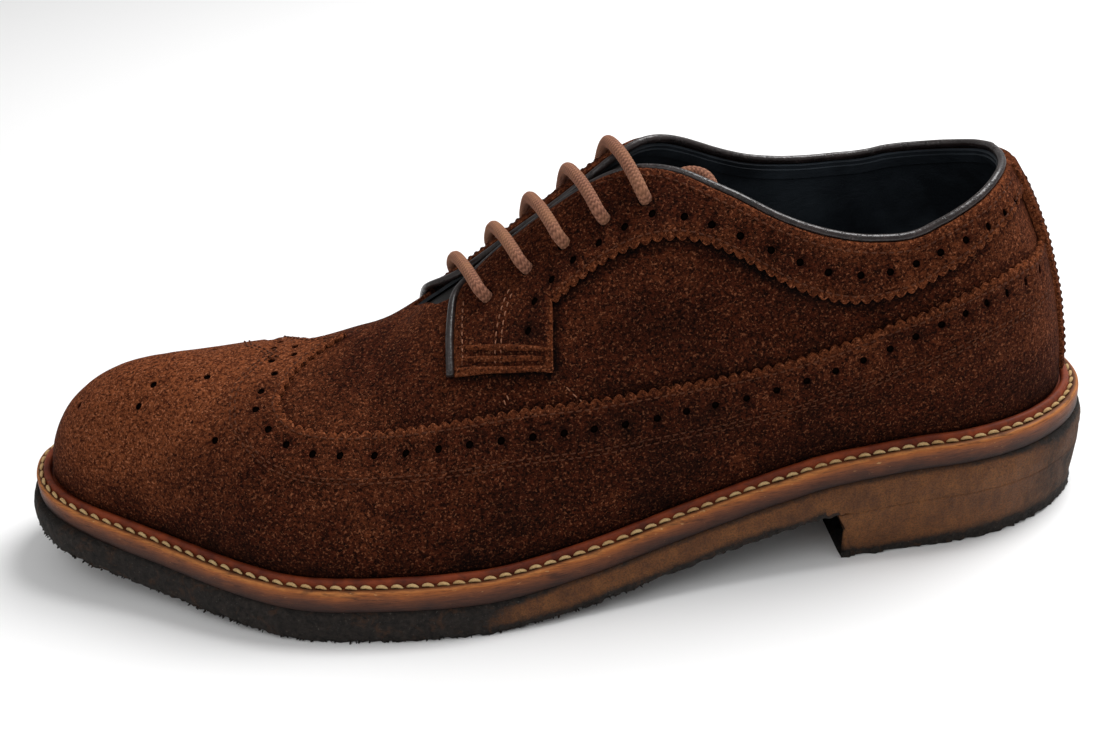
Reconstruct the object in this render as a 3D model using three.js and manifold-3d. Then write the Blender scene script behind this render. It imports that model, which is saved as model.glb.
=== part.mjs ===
// Wingtip shoe: a man's left shoe in suede, a long wing derby on a crepe rubber sole.
// Millimetres. The toe points to -X, the outer side to -Y, up is +Z, and the sole rests on Z = 0.
import * as THREE from "three";
import { mergeVertices } from "three/addons/utils/BufferGeometryUtils.js";
import Module from "manifold-3d";

const wasm = await Module();
wasm.setup();

// The last: the form that the upper takes.
const lastLength = 294; // heel back to toe tip along the feather line
const ballWidth = 91.5; // widest outer half and widest inner half together
const instepDepth = 89; // ridge above the feather line at the top of the throat

// The sole stack, from the floor up.
const heelLift = 16.8; // underside of the outsole above the floor at the heel
const toeSpring = 11; // underside of the outsole above the floor at the toe tip
const crepeThickness = 9;
const midsoleThickness = 3.2;
const weltThickness = 2.8;
const weltMargin = 7; // sole edge beyond the feather line
const weltInset = 4; // welt under the wall of the upper
const rimHeight = 1.7; // raised inner rim of the welt
const rimWidth = 2.2;
const edgeRound = 0.9; // broken corners of the sole edges
const crepeBulge = 1.2; // the crepe stands a little proud of the leather above it
const heelTaper = 1.6; // the heel's foot is drawn in at the sides and back
const heelBreast = 73; // heel back to heel breast, at the top of the block
const breastSlope = 5; // the foot of the breast lies further back
const insoleThickness = 2.6;

// The upper.
const upperWall = 2; // suede and lining together
const overlayThickness = 1.2;
const bindingRadius = 1.4; // rolled leather edge of the topline and facings
const tongueThickness = 1.8;
const tongueHalf = 21; // half width of the tongue, over its curve
const tongueTopShare = 0.86; // the tongue's top is a little narrower
const backstayTop = 7; // half widths of the backstay
const backstayFoot = 11;
const eyeletRadius = 1.9;
const innerLead = 8; // the inner facing sits this much nearer the toe
const facingReach = 12; // how far the facings are drawn into the opening, which cuts them
const facingTuck = 5; // the collar bands end this far from the middle, under the backstay

// The lace.
const laceRadius = 1.8;
const barLift = 0.3; // the bars lie this much over the facings

const clearance = 0.3; // between pieces that touch

// Places along the walk: 0 at the heel back, 1 at the toe tip, the same on both sides.
const heelTurn = 0.157; // the round of the heel ends
const toeTurn = 0.81; // the round of the toe starts

// Cross sections of the last. Shares of lastLength for along, of ballWidth for outer, inner and
// shift, of instepDepth for rise; cling, swell and roof shape the curve from feather line to ridge.
const sections = [
  { along: 0.155, outer: 0.353, inner: 0.342, rise: 0.949, shift: 0.008, cling: 0.45, swell: 0.08, roof: 0.85 },
  { along: 0.28, outer: 0.38, inner: 0.318, rise: 0.987, shift: 0.014, cling: 0.45, swell: 0.08, roof: 0.8 },
  { along: 0.4, outer: 0.436, inner: 0.285, rise: 1, shift: 0.024, cling: 0.42, swell: 0.08, roof: 0.67 },
  { along: 0.5, outer: 0.502, inner: 0.308, rise: 0.863, shift: 0.03, cling: 0.36, swell: 0.07, roof: 0.6 },
  { along: 0.6, outer: 0.546, inner: 0.387, rise: 0.658, shift: 0.038, cling: 0.34, swell: 0.06, roof: 0.58 },
  { along: 0.68, outer: 0.527, inner: 0.452, rise: 0.535, shift: 0.042, cling: 0.36, swell: 0.05, roof: 0.59 },
  { along: 0.76, outer: 0.467, inner: 0.467, rise: 0.472, shift: 0.049, cling: 0.42, swell: 0.05, roof: 0.7 },
  { along: 0.86, outer: 0.279, inner: 0.415, rise: 0.441, shift: 0.054, cling: 0.47, swell: 0.04, roof: 0.5 },
];
const heelCurve = { bow: 0.531, cling: 0.41, swell: -0.02, roof: 0.62 };
const toeCurve = { bow: 0.546, aside: 0.156, cling: 0.62, swell: -0.04, roof: 0.44 };

// Underside of the outsole. Shares of lastLength for along, of heelLift and of toeSpring.
const underside = [
  { along: -0.04, heel: 1, spring: 0 },
  { along: 0.15, heel: 1, spring: 0 },
  { along: 0.245, heel: 0.91, spring: 0 },
  { along: 0.3, heel: 0.76, spring: 0 },
  { along: 0.4, heel: 0.43, spring: 0 },
  { along: 0.5, heel: 0.13, spring: 0 },
  { along: 0.59, heel: 0, spring: 0 },
  { along: 0.73, heel: 0, spring: 0 },
  { along: 0.81, heel: 0, spring: 0.17 },
  { along: 0.9, heel: 0, spring: 0.48 },
  { along: 1, heel: 0, spring: 1 },
  { along: 1.05, heel: 0, spring: 1.3 },
];

// Pattern lines on the last. Along is the walk, up runs from 0 at the feather line to 1 at the ridge.
const topline = [
  { along: 0, outer: 0.62, inner: 0.62 },
  { along: 0.04, outer: 0.618, inner: 0.615 },
  { along: 0.08, outer: 0.6, inner: 0.59 },
  { along: 0.12, outer: 0.558, inner: 0.565 },
  { along: 0.157, outer: 0.508, inner: 0.55 },
  { along: 0.2, outer: 0.49, inner: 0.54 },
  { along: 0.25, outer: 0.525, inner: 0.552 },
  { along: 0.28, outer: 0.573, inner: 0.583 },
  { along: 0.3, outer: 0.615, inner: 0.615 },
  { along: 0.32, outer: 0.665, inner: 0.66 },
  { along: 0.34, outer: 0.715, inner: 0.72 },
  { along: 0.358, outer: 0.768, inner: 0.785 },
];
// Front edge of the facings, in shares of ballWidth aside from the line of the throat, which
// runs beside the ridge.
const throatAside = -0.011;
const facingFront = [
  { along: 0.372, outer: 0.077, inner: 0.053 },
  { along: 0.384, outer: 0.0655, inner: 0.037 },
  { along: 0.402, outer: 0.0495, inner: 0.019 },
  { along: 0.43, outer: 0.035, inner: 0.007 },
  { along: 0.46, outer: 0.028, inner: 0.014 },
  { along: 0.486, outer: 0.0245, inner: 0.0235 },
  { along: 0.512, outer: 0.022, inner: 0.036 },
  { along: 0.53, outer: 0.0285, inner: 0.046 },
  { along: 0.541, outer: 0.043, inner: 0.057 },
  { along: 0.548, outer: 0.0605, inner: 0.071 },
  { along: 0.5535, outer: 0.085, inner: 0.091 },
  { along: 0.557, outer: 0.107, inner: 0.109 },
  { along: 0.56, outer: 0.134, inner: 0.131 },
  { along: 0.564, outer: 0.196, inner: 0.176 },
];
const throatEnd = 0.572; // the opening ends here, under the lowest lace
const throatEndShare = 0.6; // its end is this much narrower than its foot
const throatOpenRows = 10; // rows of facingFront that border the opening
const facingFoot = { along: 0.478, up: 0.468 };
const bandEdge = [
  { along: 0.474, up: 0.645 },
  { along: 0.441, up: 0.657 },
  { along: 0.399, up: 0.645 },
  { along: 0.359, up: 0.605 },
  { along: 0.319, up: 0.525 },
  { along: 0.284, up: 0.443 },
  { along: 0.248, up: 0.383 },
  { along: 0.214, up: 0.362 },
  { along: 0.17, up: 0.382 },
  { along: 0.137, up: 0.436 },
  { along: 0.093, up: 0.505 },
  { along: 0.04, up: 0.54 },
];
const wingEdge = [
  { along: 0.655, up: 1 },
  { along: 0.684, up: 0.965 },
  { along: 0.71, up: 0.9 },
  { along: 0.724, up: 0.82 },
  { along: 0.729, up: 0.74 },
  { along: 0.722, up: 0.672 },
  { along: 0.696, up: 0.613 },
  { along: 0.654, up: 0.575 },
  { along: 0.594, up: 0.522 },
  { along: 0.528, up: 0.458 },
  { along: 0.453, up: 0.365 },
  { along: 0.36, up: 0.28 },
  { along: 0.25, up: 0.265 },
  { along: 0.19, up: 0.3 },
  { along: 0.14, up: 0.345 },
  { along: 0.09, up: 0.382 },
  { along: 0.04, up: 0.395 },
];
const eyeletPlaces = [0.526, 0.491, 0.459, 0.424, 0.39];
// Eyelet centres aside from the line of the throat, in shares of ballWidth.
const eyeletAside = { outer: 0.104, inner: 0.086 };
// The outer end of the lace goes in at the top eyelet, humps over the topline and hangs inside.
// Slack is its distance from the lining, a share of laceRadius.
const laceTail = [
  { along: 0.388, up: 0.765, slack: 0.17 },
  { along: 0.38, up: 0.785, slack: 0.28 },
  { along: 0.371, up: 0.808, slack: 0.39 },
  { along: 0.362, up: 0.825, slack: 0.5 },
  { along: 0.353, up: 0.825, slack: 0.5 },
  { along: 0.345, up: 0.81, slack: 0.5 },
  { along: 0.339, up: 0.785, slack: 0.44 },
  { along: 0.335, up: 0.745, slack: 0.33 },
  { along: 0.333, up: 0.7, slack: 0.22 },
  { along: 0.332, up: 0.65, slack: 0.17 },
  { along: 0.331, up: 0.6, slack: 0.17 },
  { along: 0.33, up: 0.55, slack: 0.17 },
  { along: 0.33, up: 0.5, slack: 0.17 },
  { along: 0.331, up: 0.45, slack: 0.17 },
  { along: 0.333, up: 0.4, slack: 0.17 },
];
const backstayUp = { foot: 0.04, top: 0.7 };
const tongueSpan = { foot: 0.635, top: 0.402 };

// How finely the forms are faceted.
const heelRibs = 7;
const sideRibs = 18;
const toeRibs = 7;
const levels = 8;
const levelCrowding = 1.25; // the levels lie closer together towards the ridge

const suede = new THREE.MeshStandardMaterial({ color: 0x4d2a1b, roughness: 0.95, metalness: 0 });
const darkLeather = new THREE.MeshStandardMaterial({ color: 0x2a2523, roughness: 0.45, metalness: 0 });
const sockLeather = new THREE.MeshStandardMaterial({ color: 0x17181c, roughness: 0.6, metalness: 0 });
const edgeLeather = new THREE.MeshStandardMaterial({ color: 0xa86a38, roughness: 0.55, metalness: 0 });
const crepe = new THREE.MeshStandardMaterial({ color: 0x5a3a1e, roughness: 0.85, metalness: 0 });
const laceCotton = new THREE.MeshStandardMaterial({ color: 0x96684a, roughness: 0.9, metalness: 0 });

const heelX = lastLength / 2;
const heelApexX = heelX - sections[0].along * lastLength;
const toeApexX = heelX - sections[sections.length - 1].along * lastLength;
const toeX = -lastLength / 2;
const weltTop = crepeThickness + midsoleThickness + weltThickness + 2 * clearance;
const seatLift = weltTop + clearance;

// Natural cubic spline through the rows of a table.
function spline(rows, key) {
  const n = rows.length;
  const x = rows.map((row) => row.along);
  const y = rows.map((row) => row[key]);
  const bend = new Array(n).fill(0);
  const sweep = new Array(n).fill(0);
  for (let i = 1; i < n - 1; i++) {
    const before = x[i] - x[i - 1];
    const after = x[i + 1] - x[i];
    const pivot = 2 * (before + after) - before * sweep[i - 1];
    const turn = 6 * ((y[i + 1] - y[i]) / after - (y[i] - y[i - 1]) / before);
    sweep[i] = after / pivot;
    bend[i] = (turn - before * bend[i - 1]) / pivot;
  }
  for (let i = n - 2; i > 0; i--) bend[i] -= sweep[i] * bend[i + 1];
  return (at) => {
    let i = 0;
    while (i < n - 2 && at > x[i + 1]) i++;
    const span = x[i + 1] - x[i];
    const b = (at - x[i]) / span;
    const a = 1 - b;
    const curve = ((a * a * a - a) * bend[i] + (b * b * b - b) * bend[i + 1]) * span * span;
    return a * y[i] + b * y[i + 1] + curve / 6;
  };
}

// Curve through the rows that never overshoots, so that level stretches stay level.
function levelCurve(rows, key) {
  const n = rows.length;
  const x = rows.map((row) => row.along);
  const y = rows.map((row) => row[key]);
  const rate = x.slice(1).map((next, i) => (y[i + 1] - y[i]) / (next - x[i]));
  const slope = x.map((_, i) => {
    if (i === 0) return rate[0];
    if (i === n - 1) return rate[n - 2];
    const product = rate[i - 1] * rate[i];
    return product > 0 ? (2 * product) / (rate[i - 1] + rate[i]) : 0;
  });
  return (at) => {
    let i = 0;
    while (i < n - 2 && at > x[i + 1]) i++;
    const span = x[i + 1] - x[i];
    const b = (at - x[i]) / span;
    const rise = b * b * (3 - 2 * b);
    const lead = b * (1 - b) * (1 - b) * slope[i] * span;
    const trail = b * b * (1 - b) * slope[i + 1] * span;
    return y[i] + (y[i + 1] - y[i]) * rise + lead - trail;
  };
}

const profile = {};
for (const key of ["outer", "inner", "rise", "shift", "cling", "swell", "roof"]) {
  profile[key] = spline(sections, key);
}
const heelCurveOf = levelCurve(underside, "heel");
const springCurveOf = levelCurve(underside, "spring");

function undersideAt(x) {
  const along = (heelX - x) / lastLength;
  return heelLift * heelCurveOf(along) + toeSpring * springCurveOf(along);
}

function bezier(a, b, c, d, s) {
  const r = 1 - s;
  return r * r * r * a + 3 * r * r * s * b + 3 * r * s * s * c + s * s * s * d;
}

function mix(a, b, s) {
  return a + (b - a) * s;
}

function ease(s) {
  return s * s * (3 - 2 * s);
}

// One rib of the last at a signed place on the walk: plus is the outer side, minus the inner.
function rib(walk) {
  const side = walk >= 0 ? -1 : 1;
  const key = walk >= 0 ? "outer" : "inner";
  const place = Math.abs(walk);
  const first = sections[0].along;
  const end = sections[sections.length - 1].along;
  const middle = (place - heelTurn) / (toeTurn - heelTurn);
  const along = mix(first, end, Math.min(1, Math.max(0, middle)));
  const half = profile[key](along) * ballWidth;
  const apexX = heelX - along * lastLength;
  const shape = {
    x: apexX,
    y: side * half,
    apexX,
    apexY: profile.shift(along) * ballWidth,
    rise: profile.rise(along) * instepDepth,
    cling: profile.cling(along),
    swell: profile.swell(along),
    roof: profile.roof(along),
    climb: 0,
  };
  if (place < heelTurn) {
    const s = place / heelTurn;
    shape.x = bezier(heelX, heelX, mix(heelApexX, heelX, heelCurve.bow), heelApexX, s);
    shape.y = side * bezier(0, heelCurve.bow * half, half, half, s);
    for (const form of ["cling", "swell", "roof"]) shape[form] = mix(heelCurve[form], shape[form], ease(s));
  }
  if (place > toeTurn) {
    const s = (place - toeTurn) / (1 - toeTurn);
    const reach = toeApexX - toeX;
    const small = 1e-3;
    const taper = ((half - profile[key](end - small) * ballWidth) / (small * lastLength)) * reach;
    const tip = side * toeCurve.aside * ballWidth;
    shape.x = bezier(toeApexX, toeApexX - toeCurve.bow * reach, toeX, toeX, s);
    const lead = half + taper * toeCurve.bow;
    shape.y = side * bezier(half, lead, mix(tip, half, toeCurve.bow), tip, s);
    for (const form of ["cling", "swell", "roof"]) shape[form] = mix(shape[form], toeCurve[form], ease(s));
    const before = profile.rise(end - small) * instepDepth;
    const seatBefore = undersideAt(toeApexX + small * lastLength);
    const seatChange = undersideAt(toeApexX) - seatBefore;
    shape.climb = (shape.rise - before + seatChange) / (small * lastLength);
  }
  return shape;
}

// Point of the last on a rib, up from the feather line to the ridge.
function lastPoint(shape, up) {
  const inward = bezier(1, 1 + shape.swell, shape.roof, 0, up);
  const lift = bezier(0, shape.cling, 1, 1, up);
  const seat = undersideAt(shape.x) + seatLift;
  const crown = undersideAt(shape.apexX) + seatLift + shape.rise;
  const ahead = 3 * (1 - up) * up * up * shape.climb * (shape.apexX - shape.x) * shape.roof;
  return new THREE.Vector3(
    mix(shape.apexX, shape.x, inward),
    mix(shape.apexY, shape.y, inward),
    mix(seat, crown, lift) + ahead,
  );
}

// The flat pattern: each rib drawn straight from its feather point to its apex.
function patternPoint(walk, up) {
  const shape = rib(walk);
  return new THREE.Vector2(mix(shape.x, shape.apexX, up), mix(shape.y, shape.apexY, up));
}

const heelMiddle = { apex: rib(heelTurn), end: rib(0) };
const toeMiddle = { apex: rib(toeTurn), end: rib(1) };

// The sign of the walk that a pattern point lies on: which side of the ridge or of an end's middle rib.
function sideOf(x, y) {
  if (x <= heelApexX && x >= toeApexX) {
    return y <= profile.shift((heelX - x) / lastLength) * ballWidth ? 1 : -1;
  }
  const { apex, end } = x > heelApexX ? heelMiddle : toeMiddle;
  const share = (x - apex.apexX) / (end.x - apex.apexX);
  return y <= mix(apex.apexY, end.y, share) ? 1 : -1;
}

// Rib and height of a point of the flat pattern.
function unfold(x, y) {
  const side = sideOf(x, y);
  if (x <= heelApexX && x >= toeApexX) {
    const middle = (heelApexX - x) / (heelApexX - toeApexX);
    const shape = rib(side * mix(heelTurn, toeTurn, middle));
    return { shape, up: 1 - (y - shape.apexY) / (shape.y - shape.apexY) };
  }
  const atHeel = x > heelApexX;
  let low = atHeel ? 0 : toeTurn;
  let high = atHeel ? heelTurn : 1;
  const apex = rib(side * (atHeel ? heelTurn : toeTurn));
  const end = (atHeel ? heelMiddle : toeMiddle).end;
  const level = Math.atan2(-side * (end.y - apex.apexY), Math.abs(end.x - apex.apexX));
  const bearing = (px, py) => Math.atan2(-side * (py - apex.apexY), Math.abs(px - apex.apexX)) - level;
  const sought = bearing(x, y);
  for (let i = 0; i < 40; i++) {
    const half = (low + high) / 2;
    const shape = rib(side * half);
    const turned = bearing(shape.x, shape.y);
    if (atHeel ? turned < sought : turned > sought) low = half;
    else high = half;
  }
  const shape = rib((side * (low + high)) / 2);
  const reach = Math.hypot(shape.x - shape.apexX, shape.y - shape.apexY);
  return { shape, up: 1 - Math.hypot(x - shape.apexX, y - shape.apexY) / reach };
}

function surface(x, y) {
  const found = unfold(x, y);
  return lastPoint(found.shape, found.up);
}

// Surface directions for a step of one millimetre along X and along Y of the pattern.
function directions(x, y) {
  const step = 0.4;
  const alongX = surface(x + step, y).sub(surface(x - step, y)).divideScalar(2 * step);
  const alongY = surface(x, y + step).sub(surface(x, y - step)).divideScalar(2 * step);
  return { alongX, alongY, outward: alongX.clone().cross(alongY).normalize() };
}

// Point at a height above the last's surface.
function wrapped(x, y, height) {
  return surface(x, y).addScaledVector(directions(x, y).outward, height);
}

function solidOf(geometry) {
  const plain = geometry.index ? geometry.toNonIndexed() : geometry;
  const bare = new THREE.BufferGeometry();
  bare.setAttribute("position", plain.getAttribute("position").clone());
  const merged = mergeVertices(bare, 1e-4);
  const corners = merged.getAttribute("position").array;
  const kept = [];
  const index = merged.index.array;
  for (let i = 0; i < index.length; i += 3) {
    const [a, b, c] = [index[i], index[i + 1], index[i + 2]];
    if (a !== b && b !== c && c !== a) kept.push(a, b, c);
  }
  const mesh = new wasm.Mesh({
    numProp: 3,
    vertProperties: new Float32Array(corners),
    triVerts: new Uint32Array(kept),
  });
  return new wasm.Manifold(mesh);
}

function geometryOf(solid, place = null) {
  const mesh = solid.getMesh();
  const positions = new Float32Array(mesh.numVert * 3);
  for (let i = 0; i < mesh.numVert; i++) {
    const at = new THREE.Vector3().fromArray(mesh.vertProperties, i * mesh.numProp);
    (place ? place(at) : at).toArray(positions, i * 3);
  }
  const geometry = new THREE.BufferGeometry();
  geometry.setAttribute("position", new THREE.BufferAttribute(positions, 3));
  geometry.setIndex(new THREE.BufferAttribute(new Uint32Array(mesh.triVerts), 1));
  geometry.computeVertexNormals();
  return geometry;
}

function geometryFrom(triangles) {
  const geometry = new THREE.BufferGeometry();
  const positions = new Float32Array(triangles.flatMap((point) => point.toArray()));
  geometry.setAttribute("position", new THREE.BufferAttribute(positions, 3));
  return geometry;
}

// Places of the ribs on one side, closer together where the outline turns.
function walkPlaces() {
  const places = [];
  for (let i = 0; i < heelRibs; i++) places.push((heelTurn * i) / heelRibs);
  for (let i = 0; i < sideRibs; i++) places.push(mix(heelTurn, toeTurn, i / sideRibs));
  for (let i = 0; i <= toeRibs; i++) places.push(mix(toeTurn, 1, i / toeRibs));
  return places;
}
const places = walkPlaces();

function levelUp(j) {
  return 1 - Math.pow(1 - j / levels, levelCrowding);
}

// The pattern is drawn on a shallow dome, so that a cut keeps every facet of the last.
const domeRate = 0.0005;

function domeHeight(x, y) {
  return domeRate * (x * x + y * y);
}

// The whole pattern as a slab one unit thick.
function patternSlab() {
  const triangles = [];
  const at = (point, height) => new THREE.Vector3(point.x, point.y, height + domeHeight(point.x, point.y));
  const face = (a, b, c) => {
    triangles.push(at(a, 1), at(b, 1), at(c, 1), at(a, 0), at(c, 0), at(b, 0));
  };
  for (const side of [1, -1]) {
    for (let i = 0; i < places.length - 1; i++) {
      for (let j = 0; j < levels; j++) {
        const a = patternPoint(side * places[i], levelUp(j));
        const b = patternPoint(side * places[i + 1], levelUp(j));
        const c = patternPoint(side * places[i + 1], levelUp(j + 1));
        const d = patternPoint(side * places[i], levelUp(j + 1));
        if (side > 0) {
          face(a, d, c);
          face(a, c, b);
        } else {
          face(a, c, d);
          face(a, b, c);
        }
        if (j > 0) continue;
        const [from, to] = side > 0 ? [b, a] : [a, b];
        triangles.push(at(from, 0), at(to, 0), at(to, 1), at(from, 0), at(to, 1), at(from, 1));
      }
    }
  }
  return solidOf(geometryFrom(triangles));
}
const slab = patternSlab();

// A closed pattern line as a cutter through the slab.
function cutter(outline) {
  const shape = new THREE.Shape(outline);
  const depth = 2 + domeHeight(lastLength, ballWidth);
  const geometry = new THREE.ExtrudeGeometry(shape, { depth, bevelEnabled: false });
  geometry.translate(0, 0, -1);
  return solidOf(geometry);
}

// Even points on a smooth line through chosen pattern points.
function smoothLine(points, spacing) {
  const curve = new THREE.CatmullRomCurve3(points.map((point) => new THREE.Vector3(point.x, point.y, 0)));
  const count = Math.max(2, Math.round(curve.getLength() / spacing));
  return curve.getSpacedPoints(count).map((point) => new THREE.Vector2(point.x, point.y));
}

const lineSpacing = 7; // between the points of a long pattern line
const edgeSpacing = 4.9; // and of the edge of the opening

const leadRun = 0.06; // the inner facing gains its lead over this much of the walk

// Point aside from the line of the throat.
function throatPoint(place, side, aside) {
  const ridge = rib(place);
  const lead = side > 0 ? 0 : innerLead * ease(Math.min(1, (place - facingFront[0].along) / leadRun));
  return new THREE.Vector2(ridge.apexX - lead, ridge.apexY + (throatAside - side * aside) * ballWidth);
}

function facingPoint(row, side) {
  return throatPoint(row.along, side, side > 0 ? row.outer : row.inner);
}

// Edge line of the collar and facing on one side, from the heel back to the foot of the facing.
function edgeLine(side) {
  const key = side > 0 ? "outer" : "inner";
  const collar = topline.map((row) => patternPoint(side * row.along, row[key]));
  const front = facingFront.map((row) => facingPoint(row, side));
  return smoothLine([...collar, ...front], edgeSpacing);
}

// The part of the edge line that borders the opening, as far as the foot of the throat.
const throatFoot = facingFront[throatOpenRows - 1];

function openingEdge(side) {
  const footX = throatPoint(throatFoot.along, side, 0).x;
  return edgeLine(side).filter((point) => point.x >= footX);
}

const openingOutline = [
  ...openingEdge(1),
  throatPoint(throatEnd, 1, throatFoot.outer * throatEndShare),
  throatPoint(throatEnd, -1, throatFoot.inner * throatEndShare),
  ...openingEdge(-1).reverse().slice(0, -1),
];
const opening = cutter(openingOutline);

// A round hole of a true radius, drawn on the pattern.
function holeOutline(centre, radius) {
  const { alongX, alongY } = directions(centre.x, centre.y);
  const outline = [];
  for (let i = 0; i < holeCorners; i++) {
    const angle = (2 * Math.PI * (i + 0.5)) / holeCorners;
    const x = (radius * Math.cos(angle)) / alongX.length();
    const y = (radius * Math.sin(angle)) / alongY.length();
    outline.push(new THREE.Vector2(centre.x + x, centre.y + y));
  }
  return outline;
}

const holeCorners = 8;

function eyeletCentre(place, side) {
  const ridge = rib(place);
  if (side > 0) {
    return new THREE.Vector2(ridge.apexX, ridge.apexY + (throatAside - eyeletAside.outer) * ballWidth);
  }
  const y = ridge.apexY + (throatAside + eyeletAside.inner) * ballWidth;
  return new THREE.Vector2(ridge.apexX - innerLead, y);
}

function eyeletCutters(side) {
  return eyeletPlaces.map((place) => cutter(holeOutline(eyeletCentre(place, side), eyeletRadius)));
}

const wingInside = () => {
  const outer = wingEdge.map((row) => patternPoint(row.along, row.up));
  const inner = wingEdge.map((row) => patternPoint(-row.along, row.up)).reverse();
  return smoothLine([...outer, ...inner], lineSpacing).slice(0, -1);
};

const walkPerLength = (toeTurn - heelTurn) / (heelApexX - toeApexX);

// The lower edge follows the lead of its facing, and loses it towards the back.
const bandLeadFrom = 0.25;
const bandLeadRun = 0.2;

function bandLead(row) {
  return ease(Math.min(1, Math.max(0, (row.along - bandLeadFrom) / bandLeadRun)));
}

// One facing and its collar band: front edge, foot, rear edge, and the band's lower edge to the back.
function facingOutline(side) {
  const front = smoothLine(facingFront.map((row) => facingPoint(row, side)), edgeSpacing);
  const shift = side > 0 ? 0 : innerLead * walkPerLength;
  const lower = (row) => patternPoint(side * (row.along + shift * bandLead(row)), row.up);
  const band = smoothLine(bandEdge.map(lower), lineSpacing);
  const end = bandEdge[bandEdge.length - 1];
  const tuck = side * walkAside(facingTuck, end.up);
  const inside = new THREE.Vector2(front[0].x + facingReach, front[0].y);
  return [
    ...front,
    patternPoint(side * (facingFoot.along + shift), facingFoot.up),
    ...band,
    patternPoint(tuck, end.up),
    patternPoint(tuck, 2 * topline[0].outer - end.up),
    inside,
  ];
}

function backstayHalf(up) {
  return mix(backstayFoot, backstayTop, up);
}

// Walk place where the last is a given way aside from its middle plane, near the heel back.
function walkAside(half, up) {
  let low = 0;
  let high = heelTurn;
  for (let i = 0; i < 30; i++) {
    const walk = (low + high) / 2;
    if (Math.abs(lastPoint(rib(walk), up).y) < half) low = walk;
    else high = walk;
  }
  return low;
}

function backstayOutline() {
  const outer = [];
  const inner = [];
  const steps = 8;
  for (let i = 0; i <= steps; i++) {
    const up = mix(backstayUp.foot, backstayUp.top, i / steps);
    const walk = walkAside(backstayHalf(up), up);
    outer.push(patternPoint(walk, up));
    inner.unshift(patternPoint(-walk, up));
  }
  return [...outer, ...inner, patternPoint(0, backstayUp.foot)];
}

function tongueOutline() {
  const outer = [];
  const inner = [];
  const steps = 7;
  for (let i = 0; i <= steps; i++) {
    const place = mix(tongueSpan.foot, tongueSpan.top, i / steps);
    const centre = throatPoint(place, 1, 0);
    const scale = directions(centre.x, centre.y - tongueHalf / 4).alongY.length();
    const half = (tongueHalf * (i === steps ? tongueTopShare : 1)) / scale;
    outer.push(new THREE.Vector2(centre.x, centre.y - half));
    inner.unshift(new THREE.Vector2(centre.x, centre.y + half));
  }
  return [...outer, ...inner];
}

// A cut slab laid on the last between two heights above its surface.
function laid(flat, low, high) {
  const share = (at) => at.z - domeHeight(at.x, at.y);
  return geometryOf(flat, (at) => wrapped(at.x, at.y, mix(low, high, share(at))));
}

const overlayLow = clearance;
const overlayHigh = overlayLow + overlayThickness;

function upperGeometry() {
  let flat = slab.subtract(opening);
  for (const side of [1, -1]) {
    for (const hole of eyeletCutters(side)) flat = flat.subtract(hole);
  }
  return laid(flat, -upperWall, 0);
}

function wingGeometry() {
  return laid(slab.subtract(cutter(wingInside())), overlayLow, overlayHigh);
}

function facingGeometry(side) {
  let flat = slab.intersect(cutter(facingOutline(side))).subtract(opening);
  for (const hole of eyeletCutters(side)) flat = flat.subtract(hole);
  return laid(flat, overlayLow, overlayHigh);
}

function backstayGeometry() {
  const flat = slab.intersect(cutter(backstayOutline())).subtract(opening);
  const low = overlayHigh + 2 * clearance;
  return laid(flat, low, low + overlayThickness);
}

function tongueGeometry() {
  const high = -upperWall - 2 * clearance;
  return laid(slab.intersect(cutter(tongueOutline())), high - tongueThickness, high);
}

// A round cord or roll along a line of points.
function roll(points, radius, sides, steps) {
  const section = new THREE.Shape();
  for (let i = 0; i < sides; i++) {
    const angle = (2 * Math.PI * i) / sides;
    const corner = [radius * Math.cos(angle), radius * Math.sin(angle)];
    if (i === 0) section.moveTo(...corner);
    else section.lineTo(...corner);
  }
  const path = new THREE.CatmullRomCurve3(points);
  return new THREE.ExtrudeGeometry(section, { steps, extrudePath: path, bevelEnabled: false });
}

const bindingGap = 2.5 * clearance; // between the roll and the cut edges
const bindingSink = 4; // points over which the roll sinks from the vamp into the edge

// The rolled edge runs up one facing, round the collar and down the other facing.
function bindingLine() {
  const whole = [...edgeLine(1).reverse(), ...edgeLine(-1).slice(1)];
  const footCount = edgeLine(1).length - openingEdge(1).length;
  const middle = (overlayHigh - upperWall) / 2;
  const onVamp = clearance + bindingRadius;
  return whole.map((point, i) => {
    const before = whole[Math.max(0, i - 1)];
    const after = whole[Math.min(whole.length - 1, i + 1)];
    const tangent = surface(after.x, after.y).sub(surface(before.x, before.y)).normalize();
    const { outward } = directions(point.x, point.y);
    const across = outward.clone().cross(tangent).normalize();
    const toEnd = Math.min(i, whole.length - 1 - i);
    const sunk = ease(Math.min(1, Math.max(0, (toEnd - footCount + 1) / bindingSink)));
    return surface(point.x, point.y)
      .addScaledVector(across, bindingRadius + bindingGap)
      .addScaledVector(outward, mix(onVamp, middle, sunk));
  });
}

function bindingGeometry() {
  const line = bindingLine();
  return roll(line, bindingRadius, 6, line.length);
}

// Heights of a bar along its way, 0 at an eyelet and 1 where it is highest.
const barStops = [
  { share: 0, rise: 0 },
  { share: 0.015, rise: 0.63 },
  { share: 0.14, rise: 0.95 },
  { share: 0.34, rise: 1 },
  { share: 0.5, rise: 1 },
  { share: 0.66, rise: 1 },
  { share: 0.86, rise: 0.95 },
  { share: 0.985, rise: 0.63 },
  { share: 1, rise: 0 },
];

// One bar of the lace, from its outer eyelet over both facings to its inner eyelet.
function barLine(place) {
  const start = eyeletCentre(place, 1);
  const end = eyeletCentre(place, -1);
  const foot = overlayHigh + 2 * clearance;
  const low = foot + clearance;
  const high = foot + laceRadius + barLift;
  return barStops.map((stop) => {
    const height = mix(low, high, stop.rise);
    return wrapped(mix(start.x, end.x, stop.share), mix(start.y, end.y, stop.share), height);
  });
}

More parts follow.
